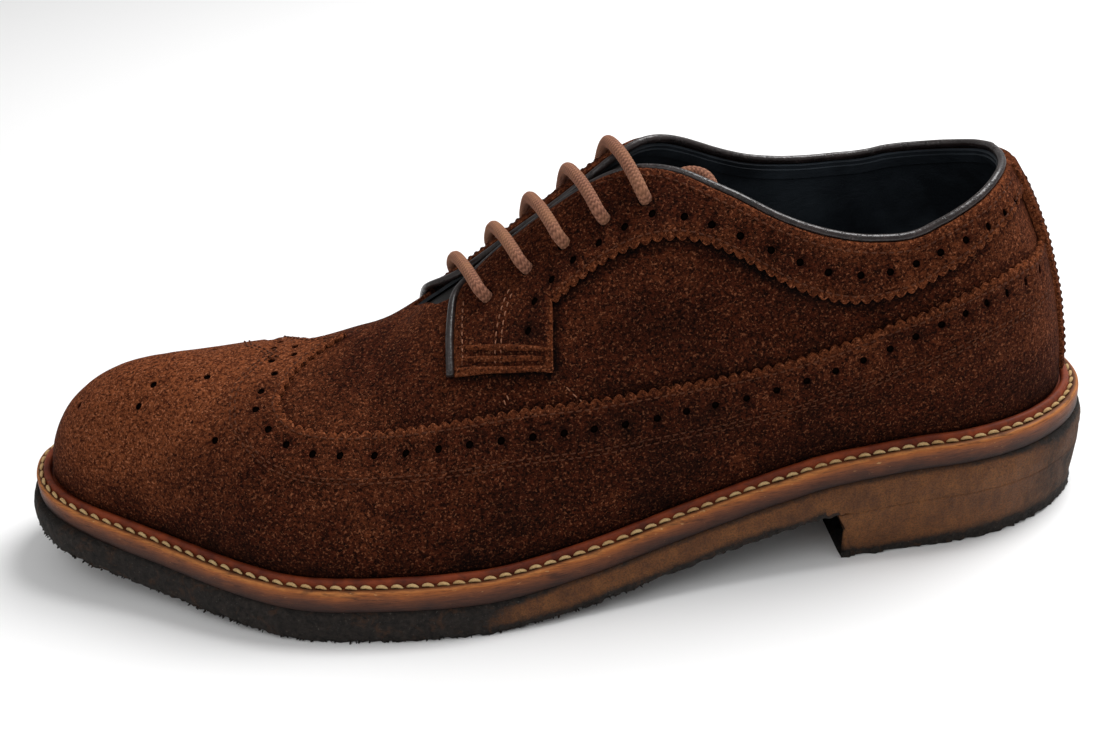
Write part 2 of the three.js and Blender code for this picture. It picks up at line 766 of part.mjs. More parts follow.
function tailLine() {
  return laceTail.map((row) => {
    const at = patternPoint(row.along, row.up);
    return wrapped(at.x, at.y, -(upperWall + clearance + laceRadius * (1 + row.slack)));
  });
}

// The outline of a sole layer at a walk place: the feather line moved out by an offset.
function solePoint(walk, offset) {
  const shape = rib(walk);
  const step = 1e-3;
  const near = rib(Math.max(-1, walk - step));
  const far = rib(Math.min(1, walk + step));
  const tangent = new THREE.Vector2(far.x - near.x, far.y - near.y).normalize();
  return new THREE.Vector2(shape.x - tangent.y * offset, shape.y + tangent.x * offset);
}

// Faces across a closed ring, from each point to its partner on the other side.
function ladder(ring) {
  const faces = [];
  const paired = ring.length % 2 === 0 ? ring.length - 1 : ring.length;
  for (let a = 0, b = paired - 1; a + 1 < b; a++, b--) {
    faces.push(ring[a], ring[a + 1], ring[b - 1], ring[a], ring[b - 1], ring[b]);
  }
  if (paired < ring.length) faces.push(ring[0], ring[paired - 1], ring[paired]);
  return faces;
}

// A solid of closed rings, one per row, with faces over the first and last ring or a bore.
function ringSolid(rows, walks, place, capped) {
  const rings = rows.map((row) => walks.map((walk) => place(walk, row)));
  const triangles = [];
  const last = capped ? rings.length - 1 : rings.length;
  for (let r = 0; r < last; r++) {
    const low = rings[r];
    const high = rings[(r + 1) % rings.length];
    for (let i = 0; i < walks.length; i++) {
      const next = (i + 1) % walks.length;
      triangles.push(low[i], high[i], high[next], low[i], high[next], low[next]);
    }
  }
  if (capped) {
    const top = ladder(rings[rings.length - 1]);
    triangles.push(...ladder(rings[0]), ...top.reverse());
  }
  return geometryOf(solidOf(geometryFrom(triangles)));
}

// Walk places of a full outline: from beside the toe tip, round the heel back, to the tip itself.
function outlineWalks() {
  const inner = places.slice(1, -1).map((place) => -place).reverse();
  return [...inner, ...places];
}

function layerPlace(walk, row) {
  const at = solePoint(walk, row.offset);
  return new THREE.Vector3(at.x, at.y, undersideAt(at.x) + row.lift);
}

function layerGeometry(rows, capped = true) {
  return ringSolid(rows, outlineWalks(), layerPlace, capped);
}

function outsoleGeometry() {
  const edge = weltMargin + crepeBulge;
  return layerGeometry([
    { offset: edge - edgeRound, lift: 0 },
    { offset: edge, lift: edgeRound },
    { offset: edge, lift: crepeThickness - edgeRound },
    { offset: edge - edgeRound, lift: crepeThickness },
  ]);
}

function midsoleGeometry() {
  const low = crepeThickness + clearance;
  return layerGeometry([
    { offset: weltMargin - edgeRound * 0.4, lift: low },
    { offset: weltMargin, lift: low + edgeRound * 0.5 },
    { offset: weltMargin, lift: low + midsoleThickness },
  ]);
}

// The welt goes all round the upper; its inner rim stands up against the upper.
function weltGeometry() {
  const low = crepeThickness + midsoleThickness + 2 * clearance;
  const high = low + weltThickness;
  const rim = overlayHigh + 2 * clearance;
  const rows = [
    { offset: -weltInset, lift: low },
    { offset: weltMargin, lift: low },
    { offset: weltMargin, lift: high - edgeRound },
    { offset: weltMargin - edgeRound, lift: high },
    { offset: rim + rimWidth, lift: high },
    { offset: rim + rimWidth * 0.6, lift: high + rimHeight },
    { offset: rim, lift: high + rimHeight },
    { offset: rim, lift: high },
    { offset: -weltInset, lift: high },
  ];
  return layerGeometry(rows, false);
}

function insoleGeometry() {
  const low = crepeThickness + midsoleThickness + 2 * clearance;
  const step = weltTop + clearance;
  const ledge = -weltInset - clearance;
  const edge = -upperWall - 2 * clearance;
  return layerGeometry([
    { offset: ledge, lift: low },
    { offset: ledge, lift: step },
    { offset: edge, lift: step },
    { offset: edge, lift: step + insoleThickness },
  ]);
}

const breastGap = 0.01; // no rib of the heel lies closer to the breast than this

// The heel block under the outsole, with its straight breast.
function heelGeometry() {
  const breastPlace = mix(
    heelTurn,
    toeTurn,
    (heelBreast / lastLength - sections[0].along) / (sections[sections.length - 1].along - sections[0].along),
  );
  const oneSide = places.filter((place) => place < breastPlace - breastGap);
  const walks = [...oneSide.slice(1).reverse().map((place) => -place), ...oneSide];
  walks.unshift(-breastPlace);
  walks.push(breastPlace);
  const edge = weltMargin + crepeBulge;
  const breastX = heelX - heelBreast;
  const place = (walk, row) => {
    const at = solePoint(walk, row.offset);
    if (Math.abs(walk) === breastPlace) at.x = breastX + row.back;
    const top = undersideAt(at.x) - clearance;
    return new THREE.Vector3(at.x, at.y, row.foot ? row.lift : top - row.lift);
  };
  const rows = [
    { offset: edge - heelTaper - edgeRound, lift: 0, back: breastSlope, foot: true },
    { offset: edge - heelTaper, lift: edgeRound, back: breastSlope * 0.9, foot: true },
    { offset: edge, lift: 0, back: 0, foot: false },
  ];
  return ringSolid(rows, walks, place, true);
}

const group = new THREE.Group();
const shoe = new THREE.Group();
group.add(shoe);

function addPiece(name, geometry, material) {
  const piece = new THREE.Mesh(geometry, material);
  piece.name = name;
  shoe.add(piece);
  return piece;
}

const outsole = addPiece("outsole", outsoleGeometry(), crepe);
addPiece("heel", heelGeometry(), crepe);
addPiece("midsole", midsoleGeometry(), edgeLeather);
addPiece("welt", weltGeometry(), edgeLeather);
addPiece("insole", insoleGeometry(), sockLeather);
addPiece("upper", upperGeometry(), suede);
addPiece("tongue", tongueGeometry(), darkLeather);
addPiece("wing_cap", wingGeometry(), suede);
addPiece("facing_outer", facingGeometry(1), suede);
addPiece("facing_inner", facingGeometry(-1), suede);
addPiece("backstay", backstayGeometry(), suede);
addPiece("topline_binding", bindingGeometry(), darkLeather);
eyeletPlaces.forEach((place, i) => {
  addPiece(`lace_bar_${i + 1}`, roll(barLine(place), laceRadius, 8, 13), laceCotton);
});

addPiece("lace_tail", roll(tailLine(), laceRadius, 6, 24), laceCotton);

// The origin is the middle of the sole's outline, on the floor.
outsole.geometry.computeBoundingBox();
const middle = outsole.geometry.boundingBox.getCenter(new THREE.Vector3());
shoe.position.set(-middle.x, -middle.y, 0);

export default group;
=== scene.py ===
# A man's left wingtip shoe in dark brown suede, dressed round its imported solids.
# The last and the pattern lines are worked out in millimetres, as in the part's source: the toe points
# to -X, the outer side to -Y. Meshes are made in metres, in the frame of the solids.
import itertools
import math

import bpy
import numpy as np
from mathutils import Matrix, Vector
from mathutils.geometry import delaunay_2d_cdt
from mathutils.kdtree import KDTree


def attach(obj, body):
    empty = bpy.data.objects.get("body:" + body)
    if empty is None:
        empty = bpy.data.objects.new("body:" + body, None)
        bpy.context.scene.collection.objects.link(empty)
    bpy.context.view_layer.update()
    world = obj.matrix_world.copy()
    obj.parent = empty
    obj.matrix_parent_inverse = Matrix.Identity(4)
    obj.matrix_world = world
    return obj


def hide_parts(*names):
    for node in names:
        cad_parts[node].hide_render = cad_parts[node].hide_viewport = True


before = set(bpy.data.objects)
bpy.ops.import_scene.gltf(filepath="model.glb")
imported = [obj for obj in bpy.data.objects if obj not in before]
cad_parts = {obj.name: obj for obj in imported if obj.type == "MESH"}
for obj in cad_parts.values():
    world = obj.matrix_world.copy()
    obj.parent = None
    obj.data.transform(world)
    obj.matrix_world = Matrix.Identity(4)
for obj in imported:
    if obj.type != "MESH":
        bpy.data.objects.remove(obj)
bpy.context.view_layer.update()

MILLIMETRE = 0.001
GROUP_SHIFT = np.array([0.0, 3.4656, 0.0])

# Signs of a place on the walk: plus on the outer side of the foot, minus on the inner.
SIDES = {1: "outer", -1: "inner"}

# The last and the sole stack.
LAST_LENGTH = 294.0
BALL_WIDTH = 91.5
INSTEP_DEPTH = 89.0
HEEL_LIFT = 16.8
TOE_SPRING = 11.0
CREPE = 9.0
MIDSOLE = 3.2
WELT = 2.8
CLEARANCE = 0.3
WELT_MARGIN = 7.0
WELT_INSET = 4.0
CREPE_BULGE = 1.2
HEEL_TAPER = 1.6
HEEL_BREAST = 73.0
BREAST_SLOPE = 5.0
INSOLE = 2.6
UPPER_WALL = 2.0
OVERLAY_LOW = 0.3
OVERLAY_HIGH = 1.5
OVERLAY_FOOT = OVERLAY_LOW - 0.15
BACKSTAY_FOOT = OVERLAY_LOW - 0.1
BACKSTAY_HIGH = 2.8
TONGUE_THICKNESS = 1.8
TONGUE_HALF = 21.0
LACE_RADIUS = 1.8
EYELET_RADIUS = 1.9
INNER_LEAD = 8.0
FACING_TUCK = 5.0
HEEL_TURN = 0.157
TOE_TURN = 0.81
WELT_TOP = CREPE + MIDSOLE + WELT + 2 * CLEARANCE
SEAT_LIFT = WELT_TOP + CLEARANCE

# Sections of the last: along, outer, inner, rise, shift, cling, swell, roof.
SECTION_KEYS = ("along", "outer", "inner", "rise", "shift", "cling", "swell", "roof")
SECTIONS = [
    (0.155, 0.353, 0.342, 0.949, 0.008, 0.45, 0.08, 0.85),
    (0.28, 0.38, 0.318, 0.987, 0.014, 0.45, 0.08, 0.8),
    (0.4, 0.436, 0.285, 1, 0.024, 0.42, 0.08, 0.67),
    (0.5, 0.502, 0.308, 0.863, 0.03, 0.36, 0.07, 0.6),
    (0.6, 0.546, 0.387, 0.658, 0.038, 0.34, 0.06, 0.58),
    (0.68, 0.527, 0.452, 0.535, 0.042, 0.36, 0.05, 0.59),
    (0.76, 0.467, 0.467, 0.472, 0.049, 0.42, 0.05, 0.7),
    (0.86, 0.279, 0.415, 0.441, 0.054, 0.47, 0.04, 0.5),
]
HEEL_CURVE = {"bow": 0.531, "cling": 0.41, "swell": -0.02, "roof": 0.62}
TOE_CURVE = {"bow": 0.546, "aside": 0.156, "cling": 0.62, "swell": -0.04, "roof": 0.44}

# Underside of the outsole: along, share of the heel's lift, share of the toe's spring.
UNDERSIDE = [
    (-0.04, 1, 0),
    (0.15, 1, 0),
    (0.245, 0.91, 0),
    (0.3, 0.76, 0),
    (0.4, 0.43, 0),
    (0.5, 0.13, 0),
    (0.59, 0, 0),
    (0.73, 0, 0),
    (0.81, 0, 0.17),
    (0.9, 0, 0.48),
    (1, 0, 1),
    (1.05, 0, 1.3),
]

# Pattern lines: place on the walk, then height from feather line to ridge on the outer and inner side.
TOPLINE = [
    (0, 0.62, 0.62),
    (0.04, 0.618, 0.615),
    (0.08, 0.6, 0.59),
    (0.12, 0.558, 0.565),
    (0.157, 0.508, 0.55),
    (0.2, 0.49, 0.54),
    (0.25, 0.525, 0.552),
    (0.28, 0.573, 0.583),
    (0.3, 0.615, 0.615),
    (0.32, 0.665, 0.66),
    (0.34, 0.715, 0.72),
    (0.358, 0.768, 0.785),
]
THROAT_ASIDE = -0.011
FACING_FRONT = [
    (0.372, 0.077, 0.053),
    (0.384, 0.0655, 0.037),
    (0.402, 0.0495, 0.019),
    (0.43, 0.035, 0.007),
    (0.46, 0.028, 0.014),
    (0.486, 0.0245, 0.0235),
    (0.512, 0.022, 0.036),
    (0.53, 0.0285, 0.046),
    (0.541, 0.043, 0.057),
    (0.548, 0.0605, 0.071),
    (0.551, 0.085, 0.091),
    (0.553, 0.107, 0.109),
    (0.555, 0.134, 0.131),
    (0.558, 0.208, 0.188),
]
THROAT_END = 0.572
THROAT_END_SHARE = 0.6
THROAT_FOOT = FACING_FRONT[9]
FACING_FOOT = (0.48, 0.482)
BAND_EDGE = [
    (0.474, 0.645),
    (0.441, 0.657),
    (0.399, 0.645),
    (0.359, 0.605),
    (0.319, 0.525),
    (0.284, 0.443),
    (0.248, 0.383),
    (0.214, 0.362),
    (0.17, 0.382),
    (0.137, 0.436),
    (0.093, 0.505),
    (0.04, 0.54),
]
WING_EDGE = [
    (0.655, 1),
    (0.678, 0.957),
    (0.695, 0.907),
    (0.709, 0.815),
    (0.714, 0.743),
    (0.706, 0.668),
    (0.68, 0.606),
    (0.637, 0.56),
    (0.58, 0.514),
    (0.523, 0.458),
    (0.453, 0.365),
    (0.36, 0.28),
    (0.25, 0.265),
    (0.19, 0.3),
    (0.14, 0.345),
    (0.09, 0.382),
    (0.04, 0.395),
]
EYELET_PLACES = [0.526, 0.491, 0.459, 0.424, 0.39]
EYELET_ASIDE = {1: 0.104, -1: 0.086}
EYELET_CORNERS = 16
BACKSTAY_UP = (0.04, 0.617)
TONGUE_SPAN = (0.635, 0.402)
LACE_TAIL = [
    (0.388, 0.765, 0.17),
    (0.38, 0.785, 0.28),
    (0.371, 0.808, 0.39),
    (0.362, 0.825, 0.5),
    (0.353, 0.825, 0.5),
    (0.345, 0.81, 0.5),
    (0.339, 0.785, 0.44),
    (0.335, 0.745, 0.33),
    (0.333, 0.7, 0.22),
    (0.332, 0.65, 0.17),
    (0.331, 0.6, 0.17),
    (0.33, 0.55, 0.17),
    (0.33, 0.5, 0.17),
    (0.331, 0.45, 0.17),
    (0.333, 0.4, 0.17),
]

# Punched holes: place on the walk and height, the same on both sides.
HOLE_RADIUS = 1.05
WING_HOLES = [
    (0.723, 0.638),
    (0.708, 0.578),
    (0.686, 0.532),
    (0.663, 0.508),
    (0.634, 0.482),
    (0.608, 0.465),
    (0.58, 0.446),
    (0.554, 0.425),
    (0.528, 0.396),
    (0.502, 0.363),
    (0.476, 0.33),
    (0.451, 0.3),
    (0.425, 0.27),
    (0.398, 0.245),
    (0.373, 0.23),
    (0.348, 0.217),
    (0.321, 0.206),
    (0.295, 0.203),
    (0.269, 0.205),
    (0.244, 0.212),
    (0.22, 0.225),
    (0.197, 0.242),
    (0.175, 0.263),
    (0.154, 0.285),
    (0.139, 0.303),
    (0.124, 0.318),
    (0.108, 0.33),
    (0.088, 0.34),
    (0.067, 0.348),
]
PEAK_HOLES = [(0.703, 0.973), (0.723, 0.955), (0.719, 0.883), (0.73, 0.8), (0.734, 0.718)]
BAND_HOLES = [
    (0.496, 0.618),
    (0.488, 0.68),
    (0.472, 0.703),
    (0.453, 0.713),
    (0.431, 0.71),
    (0.409, 0.708),
    (0.386, 0.703),
    (0.361, 0.662),
    (0.34, 0.62),
    (0.318, 0.575),
    (0.294, 0.525),
    (0.271, 0.482),
    (0.248, 0.445),
    (0.221, 0.427),
    (0.196, 0.425),
    (0.174, 0.438),
    (0.154, 0.46),
    (0.136, 0.482),
    (0.116, 0.503),
    (0.096, 0.522),
    (0.076, 0.535),
]
TOE_HOLES = [(0.856, 0.765), (0.779, 0.865), (0.863, 0.615), (0.77, 0.555), (0.968, 0.438)]

HEEL_X = LAST_LENGTH / 2
TOE_X = -LAST_LENGTH / 2


def mix(a, b, share):
    """From a at share 0 to b at share 1."""
    return a + (b - a) * share


def ease(share):
    """The same share, but slow at its start and end."""
    return share * share * (3 - 2 * share)


def rising(value, start, run):
    """0 up to a start, 1 beyond a run from it, and smooth between."""
    return ease(np.clip((value - start) / run, 0, 1))


def bezier(a, b, c, d, s):
    """A point on a curve with four control points."""
    r = 1 - s
    return r * r * r * a + 3 * r * r * s * b + 3 * r * s * s * c + s * s * s * d


def spline(x, y):
    """Natural cubic spline through points, as a function of arrays."""
    x = np.array(x, float)
    y = np.array(y, float)
    count = len(x)
    gap = np.diff(x)
    rows = np.eye(count)
    turn = np.zeros(count)
    for i in range(1, count - 1):
        rows[i, i - 1 : i + 2] = gap[i - 1], 2 * (gap[i - 1] + gap[i]), gap[i]
        turn[i] = 6 * ((y[i + 1] - y[i]) / gap[i] - (y[i] - y[i - 1]) / gap[i - 1])
    bend = np.linalg.solve(rows, turn)

    def value(at):
        i = np.clip(np.searchsorted(x, at) - 1, 0, count - 2)
        b = (at - x[i]) / gap[i]
        a = 1 - b
        curve = (a**3 - a) * bend[i] + (b**3 - b) * bend[i + 1]
        return a * y[i] + b * y[i + 1] + curve * gap[i] ** 2 / 6

    return value


def level_curve(x, y):
    """Curve through points that never overshoots, as a function of arrays."""
    x = np.array(x, float)
    y = np.array(y, float)
    gap = np.diff(x)
    rate = np.diff(y) / gap
    slope = np.zeros(len(x))
    slope[0] = rate[0]
    slope[-1] = rate[-1]
    product = rate[:-1] * rate[1:]
    total = rate[:-1] + rate[1:]
    same = product > 0
    slope[1:-1][same] = 2 * product[same] / total[same]

    def value(at):
        i = np.clip(np.searchsorted(x, at) - 1, 0, len(x) - 2)
        b = (at - x[i]) / gap[i]
        lead = b * (1 - b) ** 2 * slope[i] * gap[i]
        trail = b * b * (1 - b) * slope[i + 1] * gap[i]
        return y[i] + (y[i + 1] - y[i]) * ease(b) + lead - trail

    return value


FORMS = ("cling", "swell", "roof")
columns = dict(zip(SECTION_KEYS, zip(*SECTIONS)))
profile = {key: spline(columns["along"], columns[key]) for key in SECTION_KEYS[1:]}
FIRST = SECTIONS[0][0]
END = SECTIONS[-1][0]
HEEL_APEX_X = HEEL_X - FIRST * LAST_LENGTH
TOE_APEX_X = HEEL_X - END * LAST_LENGTH
heel_part = level_curve([row[0] for row in UNDERSIDE], [row[1] for row in UNDERSIDE])
spring_part = level_curve([row[0] for row in UNDERSIDE], [row[2] for row in UNDERSIDE])


def underside_at(x):
    """Height of the last's feather line over the floor at X."""
    along = (HEEL_X - np.asarray(x, float)) / LAST_LENGTH
    return HEEL_LIFT * heel_part(along) + TOE_SPRING * spring_part(along)


def rib(walk):
    """Ribs of the last at signed places on the walk: plus is the outer side, minus the inner."""
    walk = np.atleast_1d(np.asarray(walk, float))
    side = np.where(walk >= 0, -1.0, 1.0)
    key = walk >= 0
    place = np.abs(walk)
    along = mix(FIRST, END, np.clip((place - HEEL_TURN) / (TOE_TURN - HEEL_TURN), 0, 1))
    half = np.where(key, profile["outer"](along), profile["inner"](along)) * BALL_WIDTH
    apex_x = HEEL_X - along * LAST_LENGTH
    shape = {form: profile[form](along) for form in FORMS}
    s = np.clip(place / HEEL_TURN, 0, 1)
    bow = mix(HEEL_APEX_X, HEEL_X, HEEL_CURVE["bow"])
    heel = place < HEEL_TURN
    x = np.where(heel, bezier(HEEL_X, HEEL_X, bow, HEEL_APEX_X, s), apex_x)
    y = np.where(heel, side * bezier(0, HEEL_CURVE["bow"] * half, half, half, s), side * half)
    for form in FORMS:
        shape[form] = np.where(heel, mix(HEEL_CURVE[form], shape[form], ease(s)), shape[form])
    s = np.clip((place - TOE_TURN) / (1 - TOE_TURN), 0, 1)
    reach = TOE_APEX_X - TOE_X
    small = 1e-3
    before = np.where(key, profile["outer"](END - small), profile["inner"](END - small)) * BALL_WIDTH
    taper = (half - before) / (small * LAST_LENGTH) * reach
    tip = side * TOE_CURVE["aside"] * BALL_WIDTH
    toe = place > TOE_TURN
    bow = TOE_APEX_X - TOE_CURVE["bow"] * reach
    x = np.where(toe, bezier(TOE_APEX_X, bow, TOE_X, TOE_X, s), x)
    lead = half + taper * TOE_CURVE["bow"]
    y = np.where(toe, side * bezier(half, lead, mix(tip, half, TOE_CURVE["bow"]), tip, s), y)
    for form in FORMS:
        shape[form] = np.where(toe, mix(shape[form], TOE_CURVE[form], ease(s)), shape[form])
    rise_change = (profile["rise"](END) - profile["rise"](END - small)) * INSTEP_DEPTH
    seat_change = underside_at(TOE_APEX_X) - underside_at(TOE_APEX_X + small * LAST_LENGTH)
    climb = (rise_change + seat_change) / (small * LAST_LENGTH)
    shape.update(
        x=x,
        y=y,
        apex_x=apex_x,
        apex_y=profile["shift"](along) * BALL_WIDTH,
        rise=profile["rise"](along) * INSTEP_DEPTH,
        climb=np.where(toe, climb, 0.0),
    )
    return shape


def last_point(shape, up):
    """Points of the last on ribs, up from the feather line to the ridge."""
    inward = bezier(1, 1 + shape["swell"], shape["roof"], 0, up)
    lift = bezier(0, shape["cling"], 1, 1, up)
    seat = underside_at(shape["x"]) + SEAT_LIFT
    crown = underside_at(shape["apex_x"]) + SEAT_LIFT + shape["rise"]
    ahead = 3 * (1 - up) * up * up * shape["climb"] * (shape["apex_x"] - shape["x"]) * shape["roof"]
    x = mix(shape["apex_x"], shape["x"], inward)
    y = mix(shape["apex_y"], shape["y"], inward)
    return np.stack([x, y, mix(seat, crown, lift) + ahead], -1)


def pattern_point(walk, up):
    """Points of the flat pattern: each rib is drawn straight from its feather point to its apex."""
    shape = rib(walk)
    x = mix(shape["x"], shape["apex_x"], up)
    y = mix(shape["y"], shape["apex_y"], up)
    return np.stack([x, y], -1)


def placed(rows):
    """Points of the flat pattern for rows of walk and up."""
    rows = np.array(rows, float)
    return pattern_point(rows[:, 0], rows[:, 1])


def one(walk):
    """A single rib, as plain numbers."""
    return {key: float(value[0]) for key, value in rib(walk).items()}


MIDDLES = {True: (one(HEEL_TURN), one(0.0)), False: (one(TOE_TURN), one(1.0))}


def unfold(xy):
    """Ribs and heights of points of the flat pattern."""
    x = xy[:, 0]
    y = xy[:, 1]
    ridge = profile["shift"](np.clip((HEEL_X - x) / LAST_LENGTH, FIRST, END)) * BALL_WIDTH
    for at_heel, ends in ((x > HEEL_APEX_X, MIDDLES[True]), (x < TOE_APEX_X, MIDDLES[False])):
        apex, end = ends
        share = (x - apex["apex_x"]) / (end["x"] - apex["apex_x"])
        ridge = np.where(at_heel, mix(apex["apex_y"], end["y"], share), ridge)
    side = np.where(y <= ridge, 1.0, -1.0)
    walk = side * mix(HEEL_TURN, TOE_TURN, np.clip((HEEL_APEX_X - x) / (HEEL_APEX_X - TOE_APEX_X), 0, 1))
    for heel in (True, False):
        chosen = np.where(x > HEEL_APEX_X if heel else x < TOE_APEX_X)[0]
        if len(chosen) == 0:
            continue
        apex, end = MIDDLES[heel]
        here = side[chosen]
        level = np.arctan2(-here * (end["y"] - apex["apex_y"]), abs(end["x"] - apex["apex_x"]))

        def bearing(px, py):
            return np.arctan2(-here * (py - apex["apex_y"]), np.abs(px - apex["apex_x"])) - level

        sought = bearing(x[chosen], y[chosen])
        low = np.full(len(chosen), 0.0 if heel else TOE_TURN)
        high = np.full(len(chosen), HEEL_TURN if heel else 1.0)
        for _ in range(26):
            half = (low + high) / 2
            shape = rib(here * half)
            turned = bearing(shape["x"], shape["y"])
            further = turned < sought if heel else turned > sought
            low = np.where(further, half, low)
            high = np.where(further, high, half)
        walk[chosen] = here * (low + high) / 2
    shape = rib(walk)
    reach = np.hypot(shape["x"] - shape["apex_x"], shape["y"] - shape["apex_y"])
    up = 1 - np.hypot(x - shape["apex_x"], y - shape["apex_y"]) / reach
    return shape, up


def surface(xy):
    """Where points of the flat pattern lie on the last."""
    shape, up = unfold(np.asarray(xy, float))
    return last_point(shape, up)


def directions(xy):
    """Surface steps for a millimetre along X and along Y of the pattern."""
    step = 0.4
    xy = np.asarray(xy, float)
    along_x = (surface(xy + [step, 0]) - surface(xy - [step, 0])) / (2 * step)
    along_y = (surface(xy + [0, step]) - surface(xy - [0, step])) / (2 * step)
    return along_x, along_y


def unit(vectors):
    """Vectors of length one."""
    return vectors / np.maximum(np.linalg.norm(vectors, axis=-1, keepdims=True), 1e-12)


def outward(xy):
    """Directions straight out of the last at pattern points."""
    along_x, along_y = directions(xy)
    return unit(np.cross(along_x, along_y))


def speckle(points, size, seed):
    """Smooth noise between -1 and 1 with lumps about one size across."""
    place = np.asarray(points, float) / size + 17.31 * seed
    cell = np.floor(place).astype(np.int64)
    inner = ease(place - cell)
    total = np.zeros(len(place))
    for corner in itertools.product((0, 1), repeat=3):
        at = cell + np.array(corner)
        mark = (at[:, 0] * 73856093) ^ (at[:, 1] * 19349663) ^ (at[:, 2] * 83492791)
        mark = ((mark ^ (mark >> 13)) * 1274126177) & 0xFFFFFFFF
        weight = np.prod(np.where(corner, inner, 1 - inner), axis=1)
        total += (mark / 0x7FFFFFFF - 1) * weight
    return total


def lumps(points, layers):
    """Lumps of several sizes together: the size, seed and height of each."""
    return sum(height * speckle(points, size, seed) for size, seed, height in layers)


def on_last(rows):
    """Surface points for rows of walk and up."""
    rows = np.array(rows, float)
    return last_point(rib(rows[:, 0]), rows[:, 1])


# Soft creases of wear: a line of places on the last, its half width and its height, minus for a trough.
CREASES = [
    ([(0.44, 0.47), (0.4, 0.455), (0.356, 0.41), (0.306, 0.37), (0.256, 0.342), (0.205, 0.345)], 4.5, -0.9),
    ([(0.43, 0.55), (0.38, 0.52), (0.33, 0.455), (0.28, 0.41), (0.23, 0.385)], 5, 0.6),
    ([(0.42, 0.37), (0.36, 0.325), (0.3, 0.3), (0.24, 0.29)], 4.5, 0.5),
    ([(0.6, 0.99), (0.625, 0.86), (0.64, 0.74), (0.63, 0.62)], 6, -0.8),
    ([(0.575, 0.97), (0.59, 0.86), (0.6, 0.75), (0.59, 0.63)], 5, 0.5),
    ([(0.668, 0.97), (0.69, 0.82), (0.695, 0.7), (0.68, 0.6)], 6, 0.35),
    ([(0.61, 0.5), (0.59, 0.42), (0.57, 0.34), (0.56, 0.24)], 5, -0.6),
    ([(0.65, 0.42), (0.64, 0.34), (0.63, 0.24)], 6, 0.4),
    ([(0.56, 0.38), (0.54, 0.29), (0.53, 0.2)], 5, 0.4),
    ([(0.5, 0.3), (0.49, 0.22), (0.48, 0.14)], 5, -0.5),
    ([(0.13, 0.3), (0.11, 0.22), (0.1, 0.14)], 5, -0.5),
    ([(0.08, 0.5), (0.07, 0.4), (0.065, 0.28)], 5, 0.4),
    ([(-0.6, 0.99), (-0.62, 0.85), (-0.63, 0.7), (-0.61, 0.55)], 6, -0.8),
    ([(-0.57, 0.5), (-0.55, 0.38), (-0.54, 0.26)], 5, -0.6),
    ([(-0.42, 0.45), (-0.36, 0.41), (-0.3, 0.38), (-0.24, 0.36)], 5, -0.8),
]


def near_line(points, line):
    """Distance of points from a line of points."""
    best = np.full(len(points), 1e9)
    for a, b in zip(line[:-1], line[1:]):
        run = b - a
        share = np.clip((points - a) @ run / (run @ run), 0, 1)
        best = np.minimum(best, np.linalg.norm(points - a - share[:, None] * run, axis=1))
    return best


crease_lines = [(on_last(rows), half, height) for rows, half, height in CREASES]
WEAR_LUMPS = ((17, 3, 0.22), (6, 4, 0.1))


def relief(points):
    """Height of the wear over the clean last."""
    height = lumps(points, WEAR_LUMPS)
    for line, half, amount in crease_lines:
        height += amount * np.exp(-((near_line(points, line) / half) ** 2))
    return height


def wrapped(xy, height):
    """Points at a height above the worn surface of the last."""
    xy = np.asarray(xy, float)
    base = surface(xy)
    return base + outward(xy) * (relief(base) + height)[:, None]


def curve_through(points, count):
    """Evenly spaced points on a smooth curve through points."""
    points = np.asarray(points, float)
    ends = np.vstack([2 * points[0] - points[1], points, 2 * points[-1] - points[-2]])
    fine = []
    for i in range(1, len(ends) - 2):
        p = ends[i - 1 : i + 3]
        knots = np.concatenate([[0], np.cumsum(np.sqrt(np.linalg.norm(np.diff(p, axis=0), axis=1)))])
        t = np.linspace(knots[1], knots[2], 24, endpoint=i == len(ends) - 3)[:, None]
        layer = list(p)
        for depth in (1, 2, 3):
            layer = [
                (knots[k + depth] - t) / (knots[k + depth] - knots[k]) * layer[k]
                + (t - knots[k]) / (knots[k + depth] - knots[k]) * layer[k + 1]
                for k in range(4 - depth)
            ]
        fine.append(layer[0])
    fine = np.vstack(fine)
    return spaced(fine, np.linspace(0, 1, count + 1), fine)


def lengths(points):
    """How far along a line each of its points is."""
    return np.concatenate([[0], np.cumsum(np.linalg.norm(np.diff(points, axis=0), axis=1))])


def spaced(line, shares, measured):
    """Points of a line at shares of the length of a measured line."""
    run = lengths(measured)
    at = np.asarray(shares) * run[-1]
    return np.stack([np.interp(at, run, line[:, k]) for k in range(line.shape[1])], -1)


def walked(line, step):
    """A pattern line with points about a step apart on the last."""
    measured = surface(line)
    count = max(2, int(round(lengths(measured)[-1] / step)))
    return spaced(line, np.linspace(0, 1, count + 1), measured)


def aside(line, distance, closed=False):
    """A pattern line moved to its right by true distances, seen along its run from outside."""
    line = np.asarray(line, float)
    if closed:
        run = np.roll(line, -1, 0) - np.roll(line, 1, 0)
    else:
        run = np.gradient(line, axis=0)
    normal = unit(np.stack([run[:, 1], -run[:, 0]], -1))
    along_x, along_y = directions(line)
    true = np.linalg.norm(normal[:, :1] * along_x + normal[:, 1:] * along_y, axis=1)
    return line + normal * (np.asarray(distance) / true)[:, None]


GIMP_PITCH = 3.1
GIMP_DEPTH = 1.25
GIMP_STEPS = 6


def gimped(line, depth=GIMP_DEPTH):
    """A pattern line cut in small scallops that stand out to its right."""
    line = walked(line, GIMP_PITCH / GIMP_STEPS)
    phase = np.arange(len(line)) / GIMP_STEPS
    return aside(line, depth * (np.abs(np.sin(np.pi * phase)) - 0.4))


